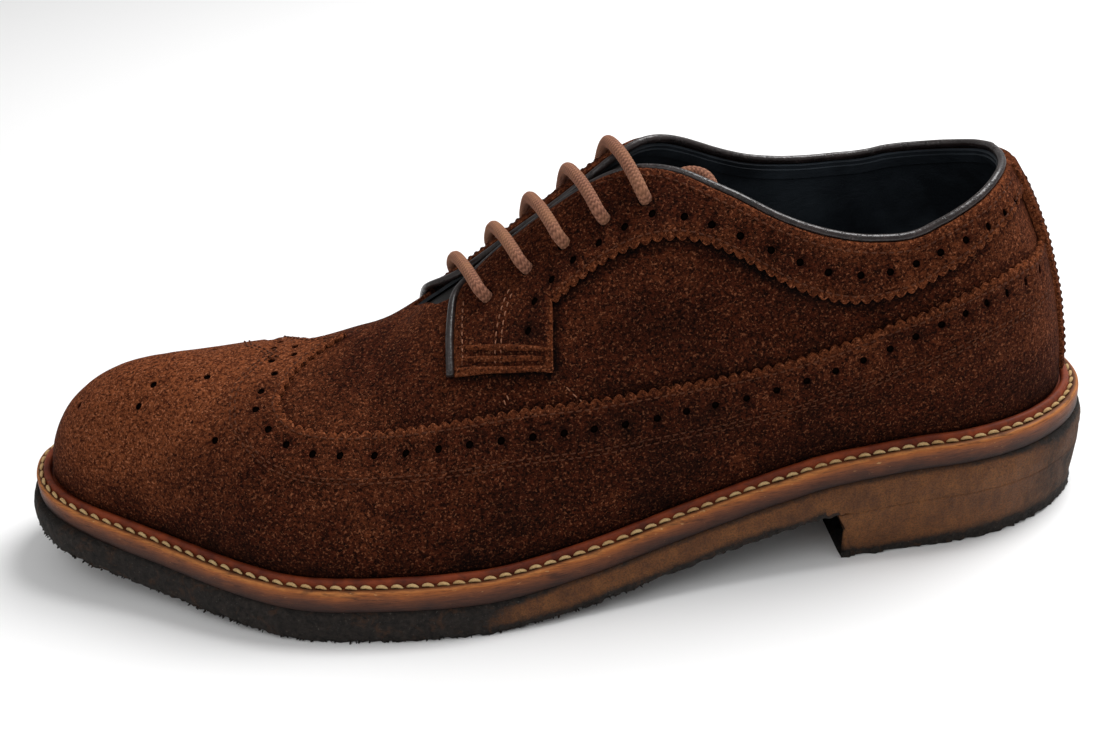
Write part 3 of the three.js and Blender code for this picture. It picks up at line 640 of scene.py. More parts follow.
# The pattern's lines, worked out as the solids' are.
def throat_point(place, side, shares):
    """Points of the pattern at signed shares of the ball width from the line of the throat."""
    place = np.atleast_1d(np.asarray(place, float))
    shape = rib(place)
    lead = INNER_LEAD * rising(place, FACING_FRONT[0][0], 0.06) if side < 0 else 0
    y = shape["apex_y"] + (THROAT_ASIDE - side * np.asarray(shares)) * BALL_WIDTH
    return np.stack([shape["apex_x"] - lead, y], -1)


def edge_line(side):
    """Edge of collar and facing on one side, from the heel back to the foot of the facing."""
    column = 1 if side > 0 else 2
    collar = [pattern_point(side * row[0], row[column])[0] for row in TOPLINE]
    front = [throat_point(row[0], side, row[column])[0] for row in FACING_FRONT]
    return walked(curve_through(collar + front, 400), 1.2)


edges = {side: edge_line(side) for side in SIDES}
EDGE_GROW = 0.85


def grown_edge(side):
    """The cut edge lies close under the rolled binding."""
    return aside(edges[side], side * EDGE_GROW)


grown = {side: grown_edge(side) for side in SIDES}


def opening_edge(side):
    """The part of an edge that borders the foot opening."""
    foot_x = throat_point(THROAT_FOOT[0], side, 0)[0, 0]
    return grown[side][grown[side][:, 0] >= foot_x]


def opening_outline():
    """Collar and throat in one loop, closed across the foot of the throat."""
    outer = throat_point(THROAT_END, 1, THROAT_FOOT[1] * THROAT_END_SHARE)
    inner = throat_point(THROAT_END, -1, THROAT_FOOT[2] * THROAT_END_SHARE)
    end = [outer[0], inner[0]]
    foot = walked(np.vstack([opening_edge(1)[-1:], end, opening_edge(-1)[-1:]]), 1.5)
    return np.vstack([opening_edge(1), foot[1:-1], opening_edge(-1)[::-1][:-1]])


OPENING = opening_outline()


def eyelet_centre(place, side):
    """Pattern point of an eyelet, aside from the throat's middle."""
    ridge = one(place)
    x = ridge["apex_x"] - (0 if side > 0 else INNER_LEAD)
    return np.array([x, ridge["apex_y"] + (THROAT_ASIDE - side * EYELET_ASIDE[side]) * BALL_WIDTH])


def hole_outline(centre, radius, corners=12):
    """A ring in the pattern that is round on the last."""
    along_x, along_y = directions(np.array([centre]))
    angle = 2 * np.pi * (np.arange(corners) + 0.5) / corners
    x = radius * np.cos(angle) / np.linalg.norm(along_x)
    y = radius * np.sin(angle) / np.linalg.norm(along_y)
    return centre + np.stack([x, y], -1)


eyelets = {side: [eyelet_centre(place, side) for place in EYELET_PLACES] for side in SIDES}


def inside(points, loop):
    """Which points lie inside a closed loop."""
    crossed = np.zeros(len(points), bool)
    x, y = points[:, 0], points[:, 1]
    for (ax, ay), (bx, by) in zip(loop, np.roll(loop, -1, 0)):
        if ay == by:
            continue
        spans = (ay > y) != (by > y)
        crossed ^= spans & (x < (bx - ax) * (y - ay) / (by - ay) + ax)
    return crossed


# A lattice of pattern points, evenly spaced on the last.
LATTICE_STEP = 2.1
LATTICE_LEVELS = 46
LEVELS_BUNCHING = 1.15
ARC_POINTS = 40


def lattice():
    """Level rows of pattern points, from the feather line up to the ridge."""
    found = []
    middle = np.linspace(HEEL_TURN, TOE_TURN, int(round((HEEL_APEX_X - TOE_APEX_X) / LATTICE_STEP)))
    for level in range(LATTICE_LEVELS + 1):
        up = 1 - (1 - level / LATTICE_LEVELS) ** LEVELS_BUNCHING
        for side in SIDES:
            if level < LATTICE_LEVELS or side > 0:
                found.append(pattern_point(side * middle, np.full(len(middle), up)))
            for low, high in ((0.0, HEEL_TURN), (TOE_TURN, 1.0)):
                places = side * np.linspace(low, high, ARC_POINTS)
                arc = last_point(rib(places), np.full(ARC_POINTS, up))
                run = lengths(arc)
                count = int(round(run[-1] / LATTICE_STEP))
                if count < 1:
                    continue
                shares = (np.arange(count) + 0.5) / count
                chosen = np.interp(shares * run[-1], run, places)
                found.append(pattern_point(chosen, np.full(count, up)))
    return np.vstack(found)


LATTICE = lattice()
LATTICE_AT = surface(LATTICE)


def turned_left(loop):
    """A loop in the counter-clockwise sense."""
    ahead = np.roll(loop, -1, 0)
    area = np.sum(loop[:, 0] * ahead[:, 1] - ahead[:, 0] * loop[:, 1])
    return loop if area > 0 else loop[::-1]


RING_IN = 0.8
RING_CLEAR = 0.55
LATTICE_CLEAR = 1.7


class Cut:
    """A flat cut piece as triangles of the pattern, with each point's distance from the cut edges."""

    def __init__(self, outline, holes=(), openings=()):
        loops = [turned_left(np.asarray(outline, float))]
        loops += [turned_left(np.asarray(hole, float)) for hole in list(openings) + list(holes)]
        rim = np.vstack(loops)
        rings = [aside(loops[0], -RING_IN, closed=True)]
        rings += [aside(loop, RING_IN, closed=True) for loop in loops[1 : 1 + len(openings)]]
        kept = self.within(LATTICE, loops)
        tree = KDTree(len(rim))
        for i, point in enumerate(surface(rim)):
            tree.insert(point, i)
        tree.balance()
        clear = [i for i in np.where(kept)[0] if tree.find(LATTICE_AT[i])[2] > LATTICE_CLEAR]
        ring = np.vstack(rings)
        ring = ring[self.within(ring, loops)]
        far = [tree.find(point)[2] > RING_CLEAR for point in surface(ring)]
        inner = np.vstack([ring[np.array(far, bool)], LATTICE[clear]])
        flat = np.vstack([rim, inner])
        sides = []
        start = 0
        for loop in loops:
            count = len(loop)
            sides += [(start + i, start + (i + 1) % count) for i in range(count)]
            start += count
        made = delaunay_2d_cdt([Vector(point) for point in flat], sides, [], 0, 1e-6, False)
        self.flat = np.array([tuple(point) for point in made[0]])
        triangles = np.array([list(face) for face in made[2]])
        centres = self.flat[triangles].mean(axis=1)
        self.triangles = triangles[self.within(centres, loops)]
        used = np.unique(self.triangles)
        renumber = np.full(len(self.flat), -1)
        renumber[used] = np.arange(len(used))
        self.flat = self.flat[used]
        self.triangles = renumber[self.triangles]
        self.base = surface(self.flat)
        nearest = [tree.find(point) for point in self.base]
        self.depth = np.array([found[2] for found in nearest])
        cut_count = sum(len(loop) for loop in loops[: 1 + len(openings)])
        self.at_hole = np.array([found[1] >= cut_count for found in nearest])
        self.normal = outward(self.flat)
        self.worn = relief(self.base)

    @staticmethod
    def within(points, loops):
        chosen = inside(points, loops[0])
        for loop in loops[1:]:
            box_low = loop.min(0)
            box_high = loop.max(0)
            near = np.all((points >= box_low) & (points <= box_high), axis=1)
            where = np.where(near)[0]
            chosen[where] &= ~inside(points[where], loop)
        return chosen

    def at(self, height):
        return self.base + self.normal * (self.worn + height)[:, None]

    def body(self, low, high, rounding=0.45):
        """Closed body between two heights, with its upper edge broken."""
        drop = rounding * np.clip(1 - self.depth / RING_IN, 0, 1) ** 2
        top = self.at(high - drop)
        bottom = self.at(np.full(len(self.flat), float(low)))
        count = len(top)
        faces = [*self.triangles.tolist(), *(self.triangles[:, ::-1] + count).tolist()]
        for a, b in open_sides(self.triangles):
            faces.append((a, a + count, b + count, b))
        return np.vstack([top, bottom]), faces


def open_sides(triangles):
    """Directed sides that only one triangle has."""
    pairs = np.vstack([triangles[:, [0, 1]], triangles[:, [1, 2]], triangles[:, [2, 0]]])
    known = set(map(tuple, pairs.tolist()))
    return [pair for pair in known if (pair[1], pair[0]) not in known]


# Making pieces.
def to_frame(points):
    return (np.asarray(points, float) + GROUP_SHIFT) * MILLIMETRE


def piece(name, body, finish, nodes=(), marks=None, sharp=None):
    """One visible piece: its mesh, finish, marks on its points, and what it stands for."""
    vertices, faces = body
    mesh = bpy.data.meshes.new(name)
    mesh.from_pydata(to_frame(vertices).tolist(), [], faces)
    mesh.shade_smooth()
    if sharp is not None:
        mesh.set_sharp_from_angle(angle=math.radians(sharp))
    for mark, values in (marks or {}).items():
        attribute = mesh.attributes.new(mark, "FLOAT", "POINT")
        attribute.data.foreach_set("value", np.asarray(values, np.float32))
    mesh.materials.append(finish)
    made = bpy.data.objects.new(name, mesh)
    bpy.context.scene.collection.objects.link(made)
    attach(made, "root")
    if nodes:
        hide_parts(*nodes)
    return made


def joined(bodies):
    """Several bodies as one."""
    vertices = []
    faces = []
    start = 0
    for points, sides in bodies:
        vertices.append(points)
        faces += [tuple(int(i) + start for i in side) for side in sides]
        start += len(points)
    return np.vstack(vertices), faces


def along_frames(points):
    """Two cross directions along a line that don't turn about it."""
    tangent = unit(np.gradient(points, axis=0))
    first = unit(np.cross(tangent[0], [0.3, 0.2, 0.9]))
    normals = [first]
    for run in tangent[1:]:
        last = normals[-1] - run * (normals[-1] @ run)
        normals.append(last / np.linalg.norm(last))
    normal = np.array(normals)
    return normal, np.cross(tangent, normal)


def tube(points, radius, sides, swell=None):
    """A round body along a line; swell gives the radius's change at lengths and turns."""
    points = np.asarray(points, float)
    normal, across = along_frames(points)
    turn = np.arange(sides) / sides
    run = lengths(points)
    size = np.broadcast_to(np.asarray(radius, float).reshape(-1, 1), (len(points), sides)).copy()
    if swell is not None:
        size += swell(run[:, None], turn[None, :])
    angle = 2 * np.pi * turn
    spokes = normal[:, None] * np.cos(angle)[None, :, None] + across[:, None] * np.sin(angle)[None, :, None]
    rings = points[:, None] + spokes * size[:, :, None]
    vertices = np.vstack([rings.reshape(-1, 3), points[:1], points[-1:]])
    count = len(points)
    faces = []
    for i in range(count - 1):
        for j in range(sides):
            k = (j + 1) % sides
            faces.append((i * sides + j, i * sides + k, (i + 1) * sides + k, (i + 1) * sides + j))
    start, end = count * sides, count * sides + 1
    for j in range(sides):
        k = (j + 1) % sides
        faces.append((start, k, j))
        faces.append((end, (count - 1) * sides + j, (count - 1) * sides + k))
    return vertices, faces


STITCH_SHARES = np.array([0.0, 0.07, 0.25, 0.5, 0.75, 0.93, 1.0])
STITCH_GIRTH = np.array([0.05, 0.6, 0.95, 1.0, 0.95, 0.6, 0.05])
STITCH_SIDES = 6


def stitched(line, up, pitch, length, radius, proud=0.3, skew=0.0):
    """A row of stitches on a line of points, each bowed up along the given directions."""
    run = lengths(line)
    count = int(run[-1] / pitch)
    starts = (np.arange(count) + 0.5) * run[-1] / count - length / 2
    at = starts[:, None] + STITCH_SHARES[None, :] * length
    spots = np.stack([np.interp(at, run, line[:, k]) for k in range(3)], -1)
    rise = unit(np.stack([np.interp(at, run, up[:, k]) for k in range(3)], -1))
    run_way = unit(spots[:, -1] - spots[:, 0])[:, None, :]
    across = unit(np.cross(run_way, rise))
    lift = proud * np.sin(np.pi * STITCH_SHARES) - 0.55 * radius * (1 - np.sin(np.pi * STITCH_SHARES))
    spots = spots + rise * lift[None, :, None] + across * (skew * (STITCH_SHARES - 0.5))[None, :, None]
    angle = 2 * np.pi * np.arange(STITCH_SIDES) / STITCH_SIDES
    girth = radius * STITCH_GIRTH[None, :, None, None]
    spokes = across[:, :, None] * np.cos(angle)[None, None, :, None]
    spokes = spokes + rise[:, :, None] * np.sin(angle)[None, None, :, None]
    rings = spots[:, :, None] + spokes * girth
    stations = len(STITCH_SHARES)
    block = []
    for i in range(stations - 1):
        for j in range(STITCH_SIDES):
            k = (j + 1) % STITCH_SIDES
            low, high = i * STITCH_SIDES, (i + 1) * STITCH_SIDES
            block.append((low + j, low + k, high + k, high + j))
    block.append(tuple(reversed(range(STITCH_SIDES))))
    block.append(tuple(range((stations - 1) * STITCH_SIDES, stations * STITCH_SIDES)))
    each = stations * STITCH_SIDES
    faces = [tuple(i + each * n for i in side) for n in range(count) for side in block]
    return rings.reshape(-1, 3), faces


def sewn(line, height, pitch, length, radius, proud=0.16):
    """A row of stitches on a pattern line at a height over the last."""
    line = walked(line, 0.8)
    return stitched(wrapped(line, height), outward(line), pitch, length, radius, proud)


# The layers of the sole.
def even_places(count, end=1.0):
    """Places of the walk, evenly spaced along the sole's edge."""
    fine = np.linspace(0, end, 900)
    shape = rib(fine)
    run = lengths(np.stack([shape["x"], shape["y"]], -1))
    return np.interp(np.linspace(0, run[-1], count), run, fine)


def sole_point(walk, offset):
    """The feather line moved out by an offset."""
    step = 1e-3
    here = rib(walk)
    near = rib(np.maximum(-1, walk - step))
    far = rib(np.minimum(1, walk + step))
    run = unit(np.stack([far["x"] - near["x"], far["y"] - near["y"]], -1))
    return np.stack([here["x"] - run[:, 1] * offset, here["y"] + run[:, 0] * offset], -1)


SOLE_PLACES = even_places(230)
CAP_COLUMNS = 22


class Layer:
    """Closed rings round the sole, capped or with a bore, each row with an offset and a height."""

    def __init__(self, rows, places=SOLE_PLACES, breast=None, bore=False, level=None):
        count = len(places)
        walks = np.concatenate([-places[1 : count - (breast is None)][::-1], places])
        rings = []
        lifts = []
        for row in rows:
            flat = sole_point(walks, row[0](walks) if callable(row[0]) else row[0])
            if breast is not None:
                back = row[2]
                flat[0, 0] = flat[-1, 0] = breast + back
                share = np.arange(1, CAP_COLUMNS)[:, None] / CAP_COLUMNS
                flat = np.vstack([flat, mix(flat[-1], flat[0], share)])
            base = underside_at(flat[:, 0]) if level is None else level(flat, row)
            rings.append(np.column_stack([flat, base + row[1]]))
            lifts.append(np.full(len(flat), float(row[1])))
        size = len(rings[0])
        self.row_of = np.repeat(np.arange(len(rows)), size)
        points = [np.vstack(rings)]
        faces = []
        pairs = len(rows) if bore else len(rows) - 1
        for r in range(pairs):
            low, high = r * size, ((r + 1) % len(rows)) * size
            for i in range(size):
                j = (i + 1) % size
                faces.append((low + i, high + i, high + j, low + j))
        total = len(points[0])
        if not bore:
            for r, upward in ((0, False), (len(rows) - 1, True)):
                added, sides = self.cap(rings[r], r * size, total, count, breast is not None, upward)
                row = rows[r]
                base = underside_at(added[:, 0]) if level is None else level(added[:, :2], row)
                added[:, 2] = base + row[1]
                points.append(added)
                lifts.append(np.full(len(added), float(row[1])))
                faces += sides
                total += len(added)
        self.points = np.vstack(points)
        self.lift = np.concatenate(lifts)
        self.faces = faces
        extra = len(self.points) - len(self.row_of)
        self.row_of = np.concatenate([self.row_of, np.full(extra, -1)])

    @staticmethod
    def cap(ring, start, total, count, open_end, upward):
        """Faces across a ring, in rows from its outer to its inner side."""
        middle = count - 1 if open_end else count - 2
        last = count - 1 if open_end else count - 2
        added = []
        table = []
        for i in range(1, last + 1):
            outer, inner = middle + i, middle - i
            if open_end and i == last:
                between = list(range(len(ring) - CAP_COLUMNS + 1, len(ring)))
                table.append([start + outer, *(start + k for k in between), start + inner])
                continue
            share = np.arange(1, CAP_COLUMNS)[:, None] / CAP_COLUMNS
            added.append(mix(ring[outer], ring[inner], share))
            first = total + (i - 1) * (CAP_COLUMNS - 1)
            table.append([start + outer, *range(first, first + CAP_COLUMNS - 1), start + inner])
        faces = []
        tip = start + middle
        for k in range(CAP_COLUMNS):
            faces.append((tip, table[0][k + 1], table[0][k]))
        for low, high in zip(table[:-1], table[1:]):
            for k in range(CAP_COLUMNS):
                faces.append((low[k], low[k + 1], high[k + 1], high[k]))
        if not open_end:
            tip = start + len(ring) - 1
            for k in range(CAP_COLUMNS):
                faces.append((table[-1][k], table[-1][k + 1], tip))
        if not upward:
            faces = [tuple(reversed(side)) for side in faces]
        return np.vstack(added), faces

    def body(self):
        return self.points, self.faces


# Materials. Sizes in the helpers are millimetres.
class Value:
    """A number or colour of a material that Python's operators work on."""

    def __init__(self, finish, socket):
        self.finish = finish
        self.socket = socket

    def maths(self, operation, *terms, clamp=False):
        sockets = {i: term for i, term in enumerate(terms)}
        settings = {"operation": operation, "use_clamp": clamp}
        return self.finish.out("ShaderNodeMath", settings, sockets)

    def __add__(self, other):
        return self.maths("ADD", self, other)

    def __radd__(self, other):
        return self.maths("ADD", other, self)

    def __sub__(self, other):
        return self.maths("SUBTRACT", self, other)

    def __rsub__(self, other):
        return self.maths("SUBTRACT", other, self)

    def __mul__(self, other):
        return self.maths("MULTIPLY", self, other)

    def __rmul__(self, other):
        return self.maths("MULTIPLY", other, self)

    def __truediv__(self, other):
        return self.maths("DIVIDE", self, other)

    def clamped(self):
        return self.maths("ADD", self, 0, clamp=True)

    def between(self, low, high):
        """0 at low, 1 at high, and clamped."""
        return ((self - low) / (high - low)).clamped()


class Finish:
    """A material in the making."""

    def __init__(self, name, rough, **constants):
        self.material = bpy.data.materials.new(name)
        self.material.use_nodes = True
        self.tree = self.material.node_tree
        self.tree.nodes.clear()
        end = self.tree.nodes.new("ShaderNodeOutputMaterial")
        self.shader = self.tree.nodes.new("ShaderNodeBsdfPrincipled")
        self.tree.links.new(self.shader.outputs[0], end.inputs[0])
        self.shader.inputs["Roughness"].default_value = rough
        for socket, value in constants.items():
            self.shader.inputs[socket.replace("_", " ")].default_value = value
        where = self.out("ShaderNodeTexCoord", {}, {}, "Object")
        scaled = {"operation": "SCALE"}
        self.where = self.out("ShaderNodeVectorMath", scaled, {0: where, "Scale": 1 / MILLIMETRE})

    def node(self, kind, settings, sockets):
        """Any node: its settings first, then the values or links of its sockets."""
        made = self.tree.nodes.new(kind)
        for key, value in settings.items():
            if key == "stops":
                while len(made.color_ramp.elements) < len(value):
                    made.color_ramp.elements.new(0.5)
                for element, (position, colour) in zip(made.color_ramp.elements, value):
                    element.position = position
                    element.color = (*colour, 1)
            else:
                setattr(made, key, value)
        for key, value in sockets.items():
            if isinstance(value, Value):
                self.tree.links.new(value.socket, made.inputs[key])
            else:
                made.inputs[key].default_value = value
        return made

    def out(self, kind, settings, sockets, output=0):
        return Value(self, self.node(kind, settings, sockets).outputs[output])

    def mark(self, name):
        return self.out("ShaderNodeAttribute", {"attribute_name": name}, {}, "Fac")

    def stretched(self, scale):
        return self.out("ShaderNodeVectorMath", {"operation": "MULTIPLY"}, {0: self.where, 1: scale})

    def noise(self, size, detail=2.0, roughness=0.5, stretch=None, twist=0.0):
        """Noise from 0 to 1 with lumps of a size."""
        where = self.where if stretch is None else self.stretched(stretch)
        sockets = {
            "Vector": where,
            "Scale": 1 / size,
            "Detail": detail,
            "Roughness": roughness,
            "Distortion": twist,
        }
        return self.out("ShaderNodeTexNoise", {}, sockets)

    def cells(self, size):
        """Distance from the middles of small cells."""
        sockets = {"Vector": self.where, "Scale": 1 / size}
        return self.out("ShaderNodeTexVoronoi", {"feature": "F1"}, sockets, "Distance")

    def blend(self, share, a, b):
        """Mix of two colours."""
        a = a if isinstance(a, Value) else (*a, 1)
        b = b if isinstance(b, Value) else (*b, 1)
        settings = {"data_type": "RGBA", "blend_type": "MIX", "clamp_factor": True}
        return self.out("ShaderNodeMix", settings, {0: share, 6: a, 7: b}, 2)

    def ramp(self, share, stops):
        return self.out("ShaderNodeValToRGB", {"stops": stops}, {"Fac": share})

    def bump(self, height, depth, strength):
        sockets = {"Height": height, "Distance": depth * MILLIMETRE, "Strength": strength}
        return self.out("ShaderNodeBump", {}, sockets)

    def done(self, colour, roughness, normal=None):
        feeds = {"Base Color": colour, "Roughness": roughness, "Normal": normal}
        for key, value in feeds.items():
            if isinstance(value, Value):
                self.tree.links.new(value.socket, self.shader.inputs[key])
            elif value is not None:
                self.shader.inputs[key].default_value = value
        return self.material


# The lamps burn the paper out to white, so the shoe's own colours are held down by a share.
HELD_DOWN = 0.66


def tone(red, green, blue):
    """A colour as it looks in the picture, in 256 steps, as linear light."""
    light = [((c / 255 + 0.055) / 1.055) ** 2.4 if c > 10 else c / 255 / 12.92 for c in (red, green, blue)]
    return tuple(HELD_DOWN * c for c in light)


def suede_finish():
    """Worn suede: short nap in clumps, lighter where rubbed and nearly black in the pits; its tone mark
    also carries painted highlights, shade and shadows.
    """
    made = Finish("suede_nap", 0.95, Specular_IOR_Level=0.05, Sheen_Weight=0.08, Sheen_Roughness=0.5)
    made.shader.inputs["Sheen Tint"].default_value = (*tone(176, 88, 50), 1)
    # The tone mark: wear, dirt, painted highlights, painted shade and painted shadows.
    wear = made.mark("tone")
    grain = made.noise(1.0, 4.0, 0.72)
    fibre = made.noise(1.3, 4.0, 0.68, (1.0, 1.0, 1.8), 1.5)
    cloud = made.noise(6.5, 4.0, 0.62, None, 0.8)
    drift = made.noise(26.0, 3.0, 0.55, (1.0, 1.0, 1.6), 0.8)
    nap = (grain * 0.6 + fibre * 0.4).between(0.43, 0.585)
    shade = ((cloud - 0.5) * 0.5 + (drift - 0.5) * 0.6 + wear + 0.43).clamped()
    dark = made.ramp(shade, [(0.0, tone(5, 3, 3)), (0.4, tone(30, 11, 6)), (1.0, tone(78, 36, 20))])
    light = made.ramp(shade, [(0.0, tone(24, 12, 9)), (0.4, tone(88, 39, 21)), (1.0, tone(158, 88, 52))])
    colour = made.blend(nap, dark, light)
    flecks = made.noise(0.7, 2.0, 0.6).between(0.57, 0.68) * (shade * 0.8 + 0.1)
    colour = made.blend(flecks, colour, tone(196, 122, 84))
    pits = made.noise(0.85, 2.0, 0.6).between(0.41, 0.34) * 0.8
    colour = made.blend(pits, colour, tone(12, 5, 4))
    height = grain * 0.7 + fibre * 0.5 + cloud * 0.7
    rough = 0.98 - nap * 0.1
    return made.done(colour, rough, made.bump(height, 0.8, 0.9))


def lining_finish():
    made = Finish("black_lining", 0.42, Specular_IOR_Level=0.4)
    grain = made.noise(0.8, 3.0, 0.6)
    cloud = made.noise(22.0, 3.0, 0.6)
    fold = made.noise(6.0, 3.0, 0.5, (1.0, 1.0, 2.2), 1.0)
    colour = made.blend(cloud.between(0.35, 0.75), tone(30, 35, 41), tone(66, 75, 84))
    rough = 0.36 + cloud * 0.25 + grain * 0.1
    return made.done(colour, rough, made.bump(grain * 0.3 + fold, 0.35, 0.5))


def tongue_finish():
    made = Finish("tongue_leather", 0.55, Specular_IOR_Level=0.35)
    grain = made.noise(0.7, 3.0, 0.65)
    cloud = made.noise(9.0, 3.0, 0.6)
    colour = made.blend(cloud.between(0.35, 0.75), tone(14, 12, 12), tone(38, 34, 34))
    return made.done(colour, 0.5 + grain * 0.2, made.bump(grain * 0.6 + cloud, 0.3, 0.6))


def hole_shadow_finish():
    made = Finish("hole_shadow", 1.0, Specular_IOR_Level=0.0)
    grain = made.noise(0.5, 2.0, 0.6)
    colour = made.blend(grain, tone(8, 5, 4), tone(26, 15, 12))
    return made.done(colour, 1.0, made.bump(grain, 0.2, 0.6))


def binding_finish():
    """Rolled edge leather, near black with a dull shine and fine cracks."""
    made = Finish("binding_leather", 0.34, Specular_IOR_Level=0.5)
    grain = made.cells(0.9)
    crack = made.noise(3.5, 3.0, 0.7, (2.0, 2.0, 0.7)).between(0.58, 0.64)
    cloud = made.noise(10.0, 3.0, 0.6)
    worn = made.noise(2.4, 4.0, 0.7).between(0.56, 0.72)
    colour = made.blend(cloud.between(0.3, 0.75), tone(30, 21, 20), tone(60, 47, 45))
    colour = made.blend(worn * 0.4, colour, tone(130, 116, 112))
    colour = made.blend(crack * 0.7, colour, tone(14, 8, 7))
    rough = 0.26 + cloud * 0.16 + crack * 0.25
    return made.done(colour, rough, made.bump(grain * 0.6 - crack * 0.8, 0.14, 0.8))


def worn_edge(made, level):
    """Edge leather from a level mark: orange tan towards the top corner, darker purple brown lower down."""
    fibre = made.noise(0.9, 4.0, 0.7, (0.2, 0.2, 3.0), 0.4)
    cloud = made.noise(13.0, 4.0, 0.62)
    stain = made.noise(3.6, 5.0, 0.72, (0.3, 0.3, 1.6), 0.8)
    at = (level + (cloud - 0.5) * 0.55 + (stain - 0.5) * 0.6 + (fibre - 0.5) * 0.3).clamped()
    stops = [
        (0.05, tone(50, 33, 29)),
        (0.3, tone(92, 54, 38)),
        (0.55, tone(134, 76, 44)),
        (0.8, tone(182, 104, 50)),
        (1.0, tone(224, 142, 74)),
    ]
    colour = made.ramp(at, stops)
    colour = made.blend(fibre.between(0.5, 0.3) * 0.55, colour, tone(64, 36, 26))
    colour = made.blend(stain.between(0.53, 0.66) * 0.7, colour, tone(58, 35, 29))
    chips = made.noise(1.3, 3.0, 0.6, (0.5, 1.0, 1.5)).between(0.68, 0.74) * level
    colour = made.blend(chips, colour, tone(226, 178, 122))
    return colour, 0.44 + stain * 0.25, fibre * 0.5 - stain * 0.35


def welt_finish():
    """Welt leather: reddish brown on the rim, tan in the groove, worn at the edge."""
    made = Finish("welt_leather", 0.5, Specular_IOR_Level=0.22)
    rim = made.mark("rim")
    edge = made.mark("edge")
    cloud = made.noise(9.0, 4.0, 0.65)
    dirt = made.noise(4.0, 5.0, 0.7, (0.6, 1.0, 1.0), 1.0)
    flat = made.blend(cloud.between(0.3, 0.7), tone(66, 34, 19), tone(116, 66, 34))
    rims = made.blend(cloud.between(0.35, 0.7), tone(108, 40, 18), tone(168, 74, 34))
    side, rough, height = worn_edge(made, made.mark("level"))
    colour = made.blend(rim, flat, rims)
    colour = made.blend(dirt.between(0.5, 0.7) * 0.6, colour, tone(52, 29, 20))
    colour = made.blend(edge, colour, side)
    return made.done(colour, rough, made.bump(height + dirt * 0.2, 0.2, 0.9))


def midsole_finish():
    """Edge leather of the midsole, which runs on from the welt's side."""
    made = Finish("edge_leather", 0.5, Specular_IOR_Level=0.22)
    colour, rough, height = worn_edge(made, made.mark("level"))
    return made.done(colour, rough, made.bump(height, 0.26, 0.9))


def crepe_finish():
    """Crepe rubber: amber brown where clean, black and rough where worn, by a mark of soot that also holds
    painted shade.
    """
    made = Finish("crepe_rubber", 0.75, Specular_IOR_Level=0.3)
    soot = made.mark("soot")
    lump = made.noise(1.5, 5.0, 0.7)
    grain = made.noise(0.5, 3.0, 0.7)
    cloud = made.noise(9.0, 6.0, 0.72)
    streak = made.noise(2.4, 4.0, 0.7, (1.0, 1.0, 0.35))
    worn = cloud * 0.6 + streak * 0.4
    stops = [(0.3, tone(84, 47, 20)), (0.5, tone(126, 75, 33)), (0.7, tone(160, 101, 48))]
    amber = made.ramp(worn, stops)
    amber = made.blend(grain.between(0.45, 0.62) * 0.55, amber, tone(52, 32, 19))
    black = made.blend(lump.between(0.3, 0.75), tone(12, 11, 11), tone(62, 54, 49))
    brown = made.noise(5.0, 4.0, 0.7, None, 1.0).between(0.54, 0.66) * 0.7
    black = made.blend(brown, black, tone(78, 53, 37))
    share = (soot + (cloud - 0.5) * 1.0 + (lump - 0.5) * 0.45).between(0.3, 0.72)
    colour = made.blend(share, amber, black)
    pale = made.noise(0.7, 4.0, 0.7).between(0.62, 0.74) * share * 0.5
    colour = made.blend(pale, colour, tone(150, 144, 134))
    rough = 0.62 + share * 0.3 + grain * 0.06
    height = lump * 0.9 + grain * 0.6
    return made.done(colour, rough, made.bump(height, 0.7, 0.9))


def lace_finish():
    made = Finish("lace_cotton", 0.85, Specular_IOR_Level=0.2, Sheen_Weight=0.25, Sheen_Roughness=0.5)
    made.shader.inputs["Sheen Tint"].default_value = (*tone(220, 170, 140), 1)
    ridge = made.mark("braid")
    fuzz = made.noise(0.35, 3.0, 0.7)
    cloud = made.noise(8.0, 3.0, 0.6)
    # Painted shade: the yarn's colour darkens down into the grooves of the braid.
    yarn = made.blend((ridge * 0.8 + fuzz * 0.35 - 0.08).clamped(), tone(88, 50, 38), tone(210, 146, 116))
    colour = made.blend(cloud.between(0.45, 0.75) * 0.45, yarn, tone(192, 138, 96))
    return made.done(colour, 0.86, made.bump(fuzz + ridge * 0.6, 0.16, 0.8))


def thread_finish(name, dark, light):
    made = Finish(name, 0.8, Specular_IOR_Level=0.12)
    twist = made.noise(0.5, 3.0, 0.7)
    cloud = made.noise(12.0, 3.0, 0.6)
    share = (twist * 0.6 + cloud * 0.5).between(0.3, 0.8)
    colour = made.blend(share, dark, light)
    return made.done(colour, 0.72, made.bump(twist, 0.12, 0.7))


def tip_finish():
    made = Finish("lace_tip_plastic", 0.3, Specular_IOR_Level=0.5)
    cloud = made.noise(3.0, 2.0, 0.5)
    colour = made.blend(cloud, tone(54, 30, 22), tone(74, 44, 32))
    return made.done(colour, 0.28 + cloud * 0.1, made.bump(cloud, 0.05, 0.4))


def floor_finish():
    made = Finish("pale_floor", 0.9, Specular_IOR_Level=0.1)
    cloud = made.noise(400.0, 2.0, 0.5)
    colour = made.blend(cloud, (0.96, 0.96, 0.96), (0.98, 0.98, 0.98))
    return made.done(colour, 0.9)


# The camera, as fitted to the photograph.
CAMERA_AZIMUTH = math.radians(2.66)
CAMERA_ELEVATION = math.radians(27.28)
CAMERA_ROLL = math.radians(-4.56)
CAMERA_DISTANCE = 441.63
CAMERA_TARGET = Vector((0.29, 10.03, 43.33))
CAMERA_LENS = 49.08


